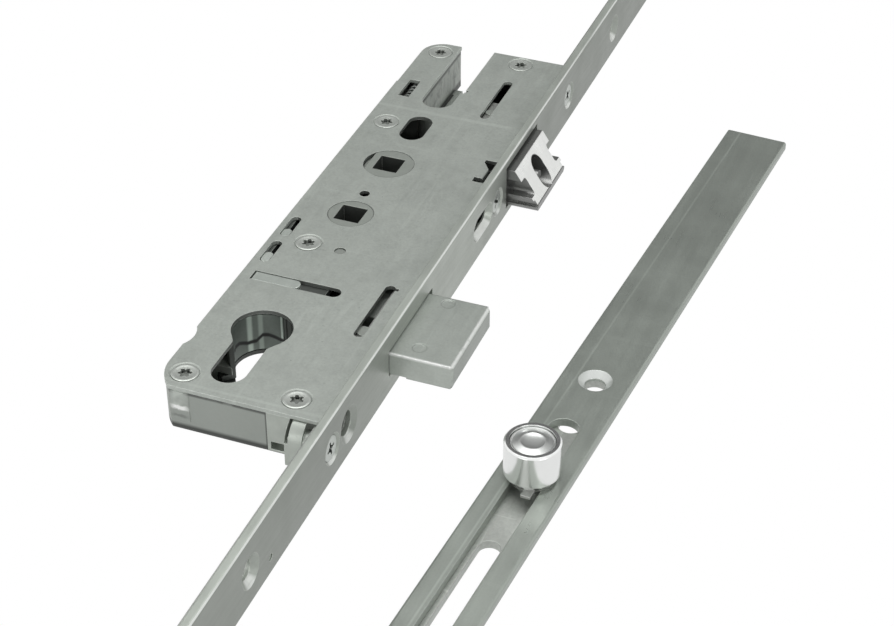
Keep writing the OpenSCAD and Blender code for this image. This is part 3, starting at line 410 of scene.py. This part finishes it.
# Faceplate: painted shade on the front but paler at its middle, painted light on the sides that
# look up, the rounded edge rubbed bright with a painted highlight
def plate_marks(nt, color, height, tone):
    _, y, _ = split(nt, placed(nt))
    # Painted shade on the front, left out at its middle
    pale = calc(nt, "MAXIMUM", under(nt, away_from(nt, y, 0.045), 0.02, 0.07),
                times(nt, under(nt, y, -0.085, -0.045), 0.15))
    front_shade = both(nt, facing(nt, FRONT, 0.7, 0.9), inverse(nt, pale))
    color = mix(nt, front_shade, color, rgba(tone, 0.65))
    # Painted light on the faces that look up
    color = tint(nt, color, tone, facing(nt, UP, 0.7, 0.9), 0.75, 1.25)
    # The rounded edge: rubbed bright with a painted highlight
    worn = ramp(nt, noise(nt, placed(nt, (1, 0.1, 1)), 300, 3, 0.6), 0.2, 0.5)
    rubbed_and_highlight = both(nt, facing(nt, SLOPE, 0.9, 0.97), worn)
    return mix(nt, times(nt, rubbed_and_highlight, 0.85), color, PLATE_WEAR_AND_HIGHLIGHT), height


# Deadbolt: its two top edges are rubbed bright with a painted highlight, the end is in painted
# shade
def bolt_marks(nt, color, height, tone):
    low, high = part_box("deadbolt")
    x, y, z = split(nt, placed(nt))
    # Painted shade on the end
    color = mix(nt, facing(nt, FRONT, 0.7, 0.9), color, rgba(tone, 0.7))
    vary = ramp(nt, noise(nt, placed(nt), 350, 3, 0.6), 0.15, 0.45)
    # Rubbed top edges with a painted highlight
    rim = both(nt, ramp(nt, z, high[2] - 0.0009, high[2] - 0.0002), vary)
    front = both(nt, rim, ramp(nt, x, high[0] - 0.0011, high[0] - 0.0004))
    side = both(nt, rim, under(nt, y, low[1] + 0.0003, low[1] + 0.0009))
    rubbed_and_highlight = calc(nt, "MAXIMUM", front, side)
    return mix(nt, times(nt, rubbed_and_highlight, 0.95), color, BOLT_WEAR_AND_HIGHLIGHT), height


# Slides seen through the cover's slots: rubbed pads, painted shade on all below them
def slide_marks(nt, color, height, tone):
    _, _, z = split(nt, placed(nt))
    return tint(nt, color, tone, under(nt, z, 0.0064, 0.0068), 0.9, 0.12), height


# Sleeve: bright rolling face, darker on the faces that look up
def sleeve_marks(nt, color, height, tone):
    return mix(nt, facing(nt, UP, 0.8, 0.95), color, rgba(tone, 0.5)), height


# Lining of the ring: painted highlights in upright bands and the stepped seam between its halves
def lining_marks(nt, color, height, tone):
    x, y, z = split(nt, placed(nt))
    angle = calc(nt, "ARCTAN2", y, calc(nt, "SUBTRACT", x, CASE_AXIS_X))
    turn = times(nt, angle, 180 / math.pi)
    # Painted highlights in upright bands
    for place, half, share, bright in ((141, 7, 0.95, 3.0), (120, 6, 0.7, 2.4), (79, 3, 0.95, 3.4)):
        highlight_band = line_mask(nt, turn, place, half)
        color = tint(nt, color, tone, highlight_band, share, bright)
    level = calc(nt, "ADD", -0.0029, times(nt, under(nt, turn, 117, 129), 0.0018))
    level = calc(nt, "SUBTRACT", level, times(nt, under(nt, turn, 84, 106), 0.0010))
    level = calc(nt, "ADD", level, times(nt, ramp(nt, turn, 146, 166), 0.0015))
    seam = line_mask(nt, calc(nt, "SUBTRACT", z, level), 0.0, 0.0009)
    return mix(nt, seam, color, SEAM_DARK), height


# Cover screws: a pale burnished head, shaded in the six-lobed recess
def cover_screw_marks(nt, color, height, tone):
    _, _, z = split(nt, placed(nt))
    return mix(nt, under(nt, z, 0.00705, 0.00735), color, rgba(tone, 0.5)), height


# Faceplate screws: pale head, painted shade in the cross recess and on the shank
def screw_recess_marks(nt, color, height, tone):
    x, _, _ = split(nt, placed(nt))
    return mix(nt, under(nt, x, -0.00085, -0.0006), color, rgba(tone, 0.3)), height


# Latch: the slope is burnished by the keep; the other faces are darkened, partly as dull cast metal
# and partly as painted shade
def latch_marks(nt, color, height, tone):
    return mix(nt, facing(nt, SLOPE, 0.72, 0.9), rgba(tone, 0.3), color), height


# Followers: shade and oil in the square, a painted shadow in the gap round the hub's face
def follower_marks(nt, color, height, tone):
    x, y, _ = split(nt, placed(nt))
    inside = inverse(nt, facing(nt, UP, 0.4, 0.7))
    color = tint(nt, color, tone, inside, 0.92, 0.1)
    dx = calc(nt, "SUBTRACT", x, CASE_AXIS_X)
    hub_gap_shadows = []
    # Painted shadow in the gap round each hub
    for axis_y, hub_r in FOLLOWERS:
        dy = calc(nt, "SUBTRACT", y, axis_y)
        far = calc(nt, "SQRT", calc(nt, "ADD", times(nt, dx, dx), times(nt, dy, dy)))
        hub_gap_shadows.append(both(nt, ramp(nt, far, hub_r - 0.0003, hub_r - 0.00012),
                         under(nt, far, 0.0085, 0.0087)))
    vary = ramp(nt, noise(nt, placed(nt), 90, 2, 0.5), 0.35, 0.5)
    hub_gap_shadow = both(nt, calc(nt, "MAXIMUM", hub_gap_shadows[0], hub_gap_shadows[1]), vary)
    return tint(nt, color, tone, hub_gap_shadow, 0.85, 0.2), height


# Roller length: a drawn line beside its left edge, rubbed streaks and a pale countersink
def roller_strip_marks(nt, color, height, tone):
    back = (-ROLLER_X * math.cos(TURN), -ROLLER_X * math.sin(TURN), 0)
    x, _, _ = split(nt, placed(nt, (1, 1, 1), TURN, back))
    line = line_mask(nt, x, -0.0055, 0.0004)
    rub = ramp(nt, noise(nt, placed(nt, (1, 0.02, 1), TURN), 260, 3, 0.6), 0.42, 0.72)
    color = tint(nt, color, tone, rub, 0.25, 1.35)
    color = tint(nt, color, tone, line, 0.5, 1.45)
    cone = both(nt, facing(nt, UP, 0.3, 0.5), inverse(nt, facing(nt, UP, 0.85, 0.93)),
                line_mask(nt, x, 0.0, 0.0075))
    color = mix(nt, times(nt, cone, 0.9), color, CONE_BRIGHT)
    return color, calc(nt, "ADD", height, line)


# ------------------------------------------------------------------ materials

MATS = {
    "faceplate_zinc": metal(
        "faceplate_zinc", (0.43, 0.46, 0.42), 0.42, 0.55, cloud=0.45, streak=0.35, scratch=0.25,
        edge=0.0003, wear_and_highlight=0.8, marks=plate_marks),
    "case_zinc": metal(
        "case_zinc", (0.5, 0.533, 0.494), 0.46, 0.45, cloud=0.85, streak=0.15, scratch=0.14,
        dark=0.68, pale=1.35, edge=0.0002, wear_and_highlight=0.6, marks=cover_marks),
    "rail_zinc": metal(
        "rail_zinc", (0.46, 0.48, 0.45), 0.4, 0.65, cloud=0.4, streak=0.5, scratch=0.5, pale=1.5),
    "mechanism_steel": metal(
        "mechanism_steel", (0.42, 0.43, 0.41), 0.4, 0.7, cloud=0.4, streak=0.2),
    "cast_zinc": metal(
        "cast_zinc", (0.5, 0.535, 0.49), 0.42, 0.5, "cast", cloud=0.6, pit=0.5, dark=0.66),
    "deadbolt_steel": metal(
        "deadbolt_steel", (0.5, 0.535, 0.495), 0.4, 0.5, cloud=0.8, streak=0.15, scratch=0.2,
        dark=0.74, edge=0.00055, wear_and_highlight=0.0, marks=bolt_marks),
    "latch_bright": metal(
        "latch_bright", (0.86, 0.87, 0.85), 0.3, 0.75, "cast", cloud=0.3, pit=0.25, dark=0.75,
        bump=0.05, edge=0.0003, wear_and_highlight=0.0, marks=latch_marks),
    "roller_bright": metal(
        "roller_bright", (0.9, 0.91, 0.9), 0.2, 0.92, "cast", cloud=0.12, pit=0.0, dark=0.85,
        bump=0.0, edge=0.0002, wear_and_highlight=0.0, marks=sleeve_marks),
    "screw_steel": metal(
        "screw_steel", (0.5, 0.53, 0.49), 0.36, 0.65, "cast", cloud=0.4, pit=0.2, dark=0.8,
        edge=0.00015, wear_and_highlight=0.5),
    "spring_steel": metal(
        "spring_steel", (0.3, 0.32, 0.3), 0.62, 0.3, "cast", cloud=0.2, pit=0.0, dark=0.8,
        bump=0.0, edge=0.0001, wear_and_highlight=0.0),
}
CASE_TRAY = metal(
    "case_tray_zinc", (0.44, 0.47, 0.435), 0.48, 0.45, cloud=0.6, streak=0.1, scratch=0.25,
    dark=0.82, edge=0.0002, wear_and_highlight=0.2, marks=wall_marks)
COVER_SCREW = metal(
    "cover_screw_steel", (0.6, 0.63, 0.59), 0.38, 0.6, "cast", cloud=0.35, pit=0.2, dark=0.8,
    edge=0.00015, wear_and_highlight=0.5, marks=cover_screw_marks)
FACEPLATE_SCREW = metal(
    "faceplate_screw_steel", (0.56, 0.595, 0.56), 0.34, 0.7, "cast", cloud=0.35, pit=0.2, dark=0.75,
    edge=0.00012, wear_and_highlight=0.4, marks=screw_recess_marks)
FOLLOWER = metal(
    "follower_zinc", (0.44, 0.472, 0.432), 0.42, 0.5, "cast", cloud=0.6, pit=0.5, dark=0.66,
    marks=follower_marks)
SLIDE_STEEL = metal(
    "slide_steel", (0.59, 0.635, 0.59), 0.38, 0.55, cloud=0.3, streak=0.1, scratch=0.1,
    marks=slide_marks)
# Dark tones in the bore that also paint its shade; the lining's marks add painted highlights
CAM_STEEL_WITH_PAINTED_SHADE = metal("cam_steel_painted_shade", (0.1, 0.11, 0.1), 0.5, 0.4, cloud=0.4, streak=0.1)
CAM_LINING_WITH_PAINTED_LIGHT = metal(
    "cam_lining_steel_painted_light", (0.158, 0.184, 0.163), 0.42, 0.5, cloud=0.6, streak=0.0, scratch=0.2,
    dark=0.6, edge=0.0001, wear_and_highlight=0.4, marks=lining_marks)
ROLLER_PIN = metal(
    "roller_pin_steel", (0.56, 0.575, 0.56), 0.33, 0.9, "cast", cloud=0.25, pit=0.1, dark=0.8,
    bump=0.02, edge=0.0002, wear_and_highlight=0.0)
ROLLER_STRIP = metal(
    "roller_strip_zinc", (0.36, 0.39, 0.355), 0.36, 0.6, cloud=0.3, streak=0.4, scratch=0.2,
    edge=0.0003, wear_and_highlight=0.6, marks=roller_strip_marks)


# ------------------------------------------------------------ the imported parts

BODY_OF = {}
for body, held in frame["record"]["behaviour"]["bodies"].items():
    for node in held:
        BODY_OF[node] = body

SLOT_OF = {}
for part in frame["record"]["subparts"]:
    SLOT_OF[part["node"]] = part["material_slot"]

OWN = {"roller_faceplate": ROLLER_STRIP, "case_base": CASE_TRAY, "cover_screws": COVER_SCREW,
       "roller_pin": ROLLER_PIN, "cam_ring": CAM_STEEL_WITH_PAINTED_SHADE, "upper_follower": FOLLOWER,
       "lower_follower": FOLLOWER, "blocking_slide": SLIDE_STEEL, "rear_bar": SLIDE_STEEL}


def dress(o, material):
    o.data.materials.clear()
    o.data.materials.append(material)


for name, obj in NODES.items():
    dress(obj, OWN[name] if name in OWN else MATS[SLOT_OF[name]])


# ---------------------------------------------------------------- mesh helpers

WELD = 0.000002


def start():
    if bpy.context.object and bpy.context.object.mode != "OBJECT":
        bpy.ops.object.mode_set(mode="OBJECT")
    bpy.ops.object.select_all(action="DESELECT")


def settle():
    # The active object's place, turn and size go into its mesh
    bpy.ops.object.transform_apply(location=True, rotation=True, scale=True)


def point(place):
    # A mesh of one point, left in edit mode with the point selected
    start()
    bpy.ops.mesh.primitive_plane_add(size=0.001)
    bpy.ops.object.mode_set(mode="EDIT")
    bpy.ops.mesh.select_all(action="SELECT")
    bpy.ops.mesh.merge(type="CENTER")
    bpy.ops.transform.translate(value=place)
    return bpy.context.object


def extend(step):
    bpy.ops.mesh.extrude_vertices_move(TRANSFORM_OT_translate={"value": step})


def weld():
    bpy.ops.mesh.select_all(action="SELECT")
    bpy.ops.mesh.remove_doubles(threshold=WELD)


def close_edit():
    # Every face looks outward, and the mesh is left as an object
    bpy.ops.mesh.select_all(action="SELECT")
    bpy.ops.mesh.normals_make_consistent(inside=False)
    bpy.ops.object.mode_set(mode="OBJECT")


def turned(name, profile, y, steps):
    # A turned solid about the line through y, along X; profile is (x, radius) in millimetres
    x, r = profile[0]
    o = point((x / 1000, y / 1000, r / 1000))
    o.name = name
    for a, b in zip(profile, profile[1:]):
        extend(((b[0] - a[0]) / 1000, 0, (b[1] - a[1]) / 1000))
    bpy.ops.mesh.select_all(action="SELECT")
    bpy.ops.mesh.spin(steps=steps, angle=2 * math.pi, center=(0, y / 1000, 0), axis=(1, 0, 0))
    weld()
    close_edit()
    return o


def upright(name, profile, place, steps, first=0.0, sweep=2 * math.pi, closed=False):
    # A turned solid about a line along Z; profile is (radius, z) in millimetres
    cx, cy = place[0] / 1000, place[1] / 1000
    c, d = math.cos(first), math.sin(first)
    r, z = profile[0]
    o = point((cx + c * r / 1000, cy + d * r / 1000, z / 1000))
    o.name = name
    points = profile + ([profile[0]] if closed else [])
    for a, b in zip(points, points[1:]):
        extend((c * (b[0] - a[0]) / 1000, d * (b[0] - a[0]) / 1000, (b[1] - a[1]) / 1000))
    weld()
    bpy.ops.mesh.spin(steps=steps, angle=sweep, center=(cx, cy, 0), axis=(0, 0, -1))
    weld()
    if closed:
        bpy.ops.mesh.fill_holes(sides=len(profile))
    close_edit()
    return o


def block(place, size, turn=(0, 0, 0)):
    start()
    bpy.ops.mesh.primitive_cube_add(size=1, location=place, rotation=turn)
    o = bpy.context.object
    o.scale = size
    settle()
    return o


def wind(o, pitch, turns, steps):
    # The object's outline becomes a coil along X
    bpy.ops.object.modifier_add(type="SCREW")
    m = o.modifiers[-1]
    m.axis = "X"
    m.angle = 2 * math.pi
    m.screw_offset = pitch
    m.iterations = turns
    m.steps = steps
    m.render_steps = steps
    bpy.ops.object.modifier_apply(modifier=m.name)


def cut(o, cutter):
    start()
    o.select_set(True)
    bpy.context.view_layer.objects.active = o
    bpy.ops.object.modifier_add(type="BOOLEAN")
    m = o.modifiers[-1]
    m.operation = "DIFFERENCE"
    m.solver = "EXACT"
    m.object = cutter
    bpy.ops.object.modifier_apply(modifier=m.name)
    bpy.data.objects.remove(cutter)


# ------------------------------------------------------------ faceplate screws

# Head and neck of a faceplate screw, (x, radius) in millimetres
SCREW_HEAD = [(-0.46, 0.0), (-0.46, 2.35), (-0.41, 2.6), (-0.4, 3.3), (-0.44, 3.5), (-0.58, 3.68),
              (-0.78, 3.48), (-2.3, 1.95), (-2.9, 1.95), (-3.1, 1.65)]

# Thread in metres: radius of its root, height of its ridge, half of the ridge's width
THREAD_ROOT = 0.0016
RIDGE_HEIGHT = 0.00038
RIDGE_HALF = 0.00028
THREAD_PITCH = 0.8
THREAD_STEPS = 32


def thread(y, x0, x1, pitch):
    o = point((x0 / 1000, 0, THREAD_ROOT))
    for rise in (RIDGE_HEIGHT, -RIDGE_HEIGHT):
        extend((RIDGE_HALF, 0, rise))
    bpy.ops.object.mode_set(mode="OBJECT")
    wind(o, pitch / 1000, int((x1 - x0) / pitch), THREAD_STEPS)
    o.location = (0, y / 1000, 0)
    settle()
    return o


def faceplate_screw(name, y, deep, turn):
    tip = [(-deep + 0.7, 1.65), (-deep + 0.02, 0.9), (-deep + 0.02, 0.0)]
    o = turned(name, SCREW_HEAD + tip, y, 72)
    for k in range(2):
        blade = block((-0.00105, y / 1000, 0), (0.0019, 0.0043, 0.00085),
                      (turn + k * math.pi / 2, 0, 0))
        cut(o, blade)
    start()
    bpy.ops.mesh.primitive_cone_add(
        vertices=8, radius1=0.0004, radius2=0.0013, depth=0.0022,
        location=(-0.00125, y / 1000, 0), rotation=(turn, math.pi / 2, 0))
    pit = bpy.context.object
    settle()
    cut(o, pit)
    ridge = thread(y, -deep + 0.8, -3.6, THREAD_PITCH)
    start()
    ridge.select_set(True)
    o.select_set(True)
    bpy.context.view_layer.objects.active = o
    bpy.ops.object.join()
    bpy.ops.object.shade_smooth_by_angle(angle=math.radians(28))
    dress(o, FACEPLATE_SCREW)
    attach(o, "lock_case")
    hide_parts("faceplate_screws")


# ------------------------------------------------------------- cover screws

# Top of a cover screw's head in millimetres
COVER_TOP = 7.5

# Radius and depth below the head's top, in millimetres
COVER_SCREW_SHAPE = ((0.0, 0.09), (2.75, 0.09), (3.0, 0.01), (3.65, 0.01), (3.85, 0.1),
                     (3.88, 0.2), (2.2, 1.2), (1.7, 1.25), (1.7, 4.5), (0.0, 4.5))

# Place in millimetres and turn of the recess
COVER_SCREWS = (((-45.8, 164.3), 0.2), ((-17.6, 165.7), 0.5), ((-45.5, 115.6), 0.1),
                ((-40.5, 43.5), 0.7), ((-46.0, -25.2), 0.35), ((-13.2, -25.0), 0.9))


def cover_screw(name, place, turn):
    o = upright(name, [(r, COVER_TOP - down) for r, down in COVER_SCREW_SHAPE], place, 72)
    # Six lobes, then the round middle of the recess: offset, direction, radius
    lobes = [(1.45, turn + k * math.pi / 3, 0.54) for k in range(6)] + [(0.0, 0.0, 1.4)]
    for off, a, r in lobes:
        start()
        bpy.ops.mesh.primitive_cylinder_add(
            vertices=24, radius=r / 1000, depth=0.0016,
            location=((place[0] + off * math.cos(a)) / 1000, (place[1] + off * math.sin(a)) / 1000,
                      (COVER_TOP - 0.4) / 1000))
        lobe = bpy.context.object
        settle()
        cut(o, lobe)
    bpy.ops.object.shade_smooth_by_angle(angle=math.radians(28))
    dress(o, COVER_SCREW)
    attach(o, "lock_case")
    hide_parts("cover_screws")


for number, (place, turn) in enumerate(COVER_SCREWS):
    cover_screw("cover_screw_%d" % (number + 1), place, turn)


# ------------------------------------------------------------------ springs

WIRE = 0.0007
COIL_TURNS = 9
COIL_STEPS = 28
WIRE_SIDES = 12


# Coil springs for the bar and the latch, each attached to its part's body
def coil(name, node, along_y):
    low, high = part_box(node)
    r = (high[2] - low[2]) / 2 - WIRE / 2
    length = (high[1] - low[1]) if along_y else (high[0] - low[0])
    start()
    bpy.ops.mesh.primitive_circle_add(vertices=WIRE_SIDES, radius=WIRE / 2,
                                      location=(WIRE / 2, 0, r), rotation=(math.pi / 2, 0, 0))
    o = bpy.context.object
    o.name = name
    settle()
    wind(o, (length - WIRE) / COIL_TURNS, COIL_TURNS, COIL_STEPS)
    bpy.ops.object.mode_set(mode="EDIT")
    bpy.ops.mesh.select_all(action="SELECT")
    bpy.ops.mesh.fill_holes(sides=WIRE_SIDES)
    close_edit()
    middle = [(low[i] + high[i]) / 2 for i in range(3)]
    if along_y:
        o.rotation_euler = (0, 0, math.pi / 2)
        o.location = (middle[0], low[1], middle[2])
    else:
        o.location = (low[0], middle[1], middle[2])
    settle()
    bpy.ops.object.shade_smooth()
    dress(o, MATS["spring_steel"])
    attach(o, BODY_OF[node])
    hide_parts(node)
    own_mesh(o)


coil("rear_bar_spring", "finger_spring", True)
coil("latch_return_spring", "latch_spring", False)


# ------------------------------------------------- roller's pin, lining and sill

# Rim, and crown round a dished centre: radius and height over the pin's top, in millimetres
PIN_SHAPE = ((0.0, -0.36), (1.2, -0.33), (2.2, -0.24), (2.9, -0.12), (3.15, 0.0), (3.4, -0.01),
             (3.7, -0.07), (4.4, -0.28), (5.2, -0.54), (5.4, -0.58), (5.6, -0.4), (5.75, -0.34),
             (5.9, -0.38), (6.04, -0.55), (6.04, -3.1), (3.88, -3.1))

# Index tick on the rim: distance from the pin's middle in millimetres, and its side
TICK_FAR = 5.75
TICK_SIDE = 0.0007

pin_low, pin_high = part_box("roller_pin")
pin_x = (pin_low[0] + pin_high[0]) * 500
pin_y = (pin_low[1] + pin_high[1]) * 500
pin_top = pin_high[2] * 1000
pin_foot = pin_low[2] * 1000
pin = upright("roller_axle", [(r, pin_top + z) for r, z in PIN_SHAPE] +
              [(3.88, pin_foot), (0.0, pin_foot)], (pin_x, pin_y), 96)
tick_x = pin_x - TICK_FAR * math.sin(TURN)
tick_y = pin_y + TICK_FAR * math.cos(TURN)
tick = block((tick_x / 1000, tick_y / 1000, pin_top / 1000), (TICK_SIDE, TICK_SIDE, TICK_SIDE),
             (0, 0, TURN))
cut(pin, tick)
bpy.ops.object.shade_smooth_by_angle(angle=math.radians(40))
dress(pin, ROLLER_PIN)
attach(pin, BODY_OF["roller_pin"])
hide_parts("roller_pin")

# Lining pressed into the ring that the cylinder's cam turns
lining = upright("cam_lining", [(8.8, -6.0), (9.03, -6.0), (9.03, 5.9), (8.8, 5.9)],
                 (CASE_AXIS_X * 1000, 0), 60, math.radians(75), math.radians(157), True)
bpy.ops.object.shade_smooth_by_angle(angle=math.radians(30))
dress(lining, CAM_LINING_WITH_PAINTED_LIGHT)
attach(lining, "cam")

# Sheet that closes the foot of the notch: left, right, low and high sides, level and thickness
SILL = (-0.0405, -0.0379, 0.1345, 0.1648)
SILL_Z = -0.0069
SILL_THICK = 0.0011

sill = block(((SILL[0] + SILL[1]) / 2, (SILL[2] + SILL[3]) / 2, SILL_Z),
             (SILL[1] - SILL[0], SILL[3] - SILL[2], SILL_THICK))
sill.name = "notch_sill"
bpy.ops.object.mode_set(mode="EDIT")
bpy.ops.mesh.select_all(action="SELECT")
bpy.ops.mesh.bevel(offset=0.0001, segments=2, affect="EDGES")
close_edit()
dress(sill, MATS["case_zinc"])
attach(sill, "lock_case")

faceplate_screw("faceplate_screw_top", 164.6, 13, 0.4)
faceplate_screw("faceplate_screw_middle", 94.8, 11, 1.0)
faceplate_screw("faceplate_screw_low", -32.3, 11.6, 0.15)


# ------------------------------------------------------------------- stage

def either(nt, fac, a, b):
    n = nt.nodes.new("ShaderNodeMixShader")
    nt.links.new(fac, n.inputs[0])
    nt.links.new(a, n.inputs[1])
    nt.links.new(b, n.inputs[2])
    return n.outputs[0]


def lit(nt, kind, strength, color=(1, 1, 1, 1)):
    n = nt.nodes.new(kind)
    n.inputs["Color"].default_value = color
    n.inputs["Strength"].default_value = strength
    return n.outputs[0]


# The studio: white where it is seen or mirrored, softer as light on the object
world = bpy.data.worlds.new("studio")
scene.world = world
world.use_nodes = True
wt = world.node_tree
wt.nodes.clear()
wout = wt.nodes.new("ShaderNodeOutputWorld")
white = lit(wt, "ShaderNodeBackground", 1.0)
fill = lit(wt, "ShaderNodeBackground", 0.45, (0.98, 1.0, 0.99, 1))
path = wt.nodes.new("ShaderNodeLightPath")
seen = calc(wt, "MAXIMUM", path.outputs["Is Camera Ray"],
            calc(wt, "MAXIMUM", path.outputs["Is Glossy Ray"],
                 path.outputs["Is Transmission Ray"]))
wt.links.new(either(wt, seen, fill, white), wout.inputs[0])


def area(name, place, target, size, power):
    d = bpy.data.lights.new(name, "AREA")
    d.shape = "RECTANGLE"
    d.size = size[0]
    d.size_y = size[1]
    d.energy = power
    o = bpy.data.objects.new(name, d)
    scene.collection.objects.link(o)
    o.location = place
    o.rotation_euler = (Vector(target) - Vector(place)).to_track_quat("-Z", "Y").to_euler()


def card(name, corners, strength, shine, hidden=True):
    # A glowing card: strength lights the object, shine is what its gloss mirrors, and the
    # camera sees plain white or nothing
    me = bpy.data.meshes.new(name)
    me.from_pydata(corners, [], [(0, 1, 2, 3)])
    o = bpy.data.objects.new(name, me)
    scene.collection.objects.link(o)
    m = bpy.data.materials.new(name)
    m.use_nodes = True
    nt = m.node_tree
    nt.nodes.clear()
    out = nt.nodes.new("ShaderNodeOutputMaterial")
    path = nt.nodes.new("ShaderNodeLightPath")
    unseen = either(nt, path.outputs["Is Glossy Ray"], lit(nt, "ShaderNodeEmission", strength),
                    lit(nt, "ShaderNodeEmission", shine))
    seen = either(nt, path.outputs["Is Camera Ray"], unseen, lit(nt, "ShaderNodeEmission", 1.0))
    nt.links.new(seen, out.inputs[0])
    me.materials.append(m)
    o.visible_camera = not hidden


FLOOR_Z = cad_low[2] - 0.0004
card("floor", [(-3, -3, FLOOR_Z), (3, -3, FLOOR_Z), (3, 3, FLOOR_Z), (-3, 3, FLOOR_Z)],
     0.6, 0.85, False)
card("grey_card", [(-2.5, 1.6, 0), (0.55, 1.6, 0), (0.55, 1.6, 3), (-2.5, 1.6, 3)], 0.22, 0.22)
area("top_light", (-0.15, 0.2, 0.9), (0, 0.05, 0), (0.7, 0.6), 3.1)
area("right_light", (0.8, -0.5, 0.35), (0, 0, 0), (0.4, 0.5), 1.9)
area("front_light", (-0.2, -0.9, 0.3), (0, 0, 0), (0.5, 0.3), 1.0)

# Camera: place in metres, look below the level and turn in degrees, lens in millimetres
CAMERA_PLACE = (0.1760, -0.4074, 0.3445)
CAMERA_DOWN = 36.03
CAMERA_TURN = 21.0
CAMERA_LENS = 82.75

cam_data = bpy.data.cameras.new("camera")
cam = bpy.data.objects.new("camera", cam_data)
scene.collection.objects.link(cam)
cam.location = CAMERA_PLACE
cam.rotation_euler = (math.radians(90 - CAMERA_DOWN), 0, math.radians(CAMERA_TURN))
cam_data.sensor_width = 36
cam_data.lens = CAMERA_LENS
cam_data.clip_start = 0.01
scene.camera = cam
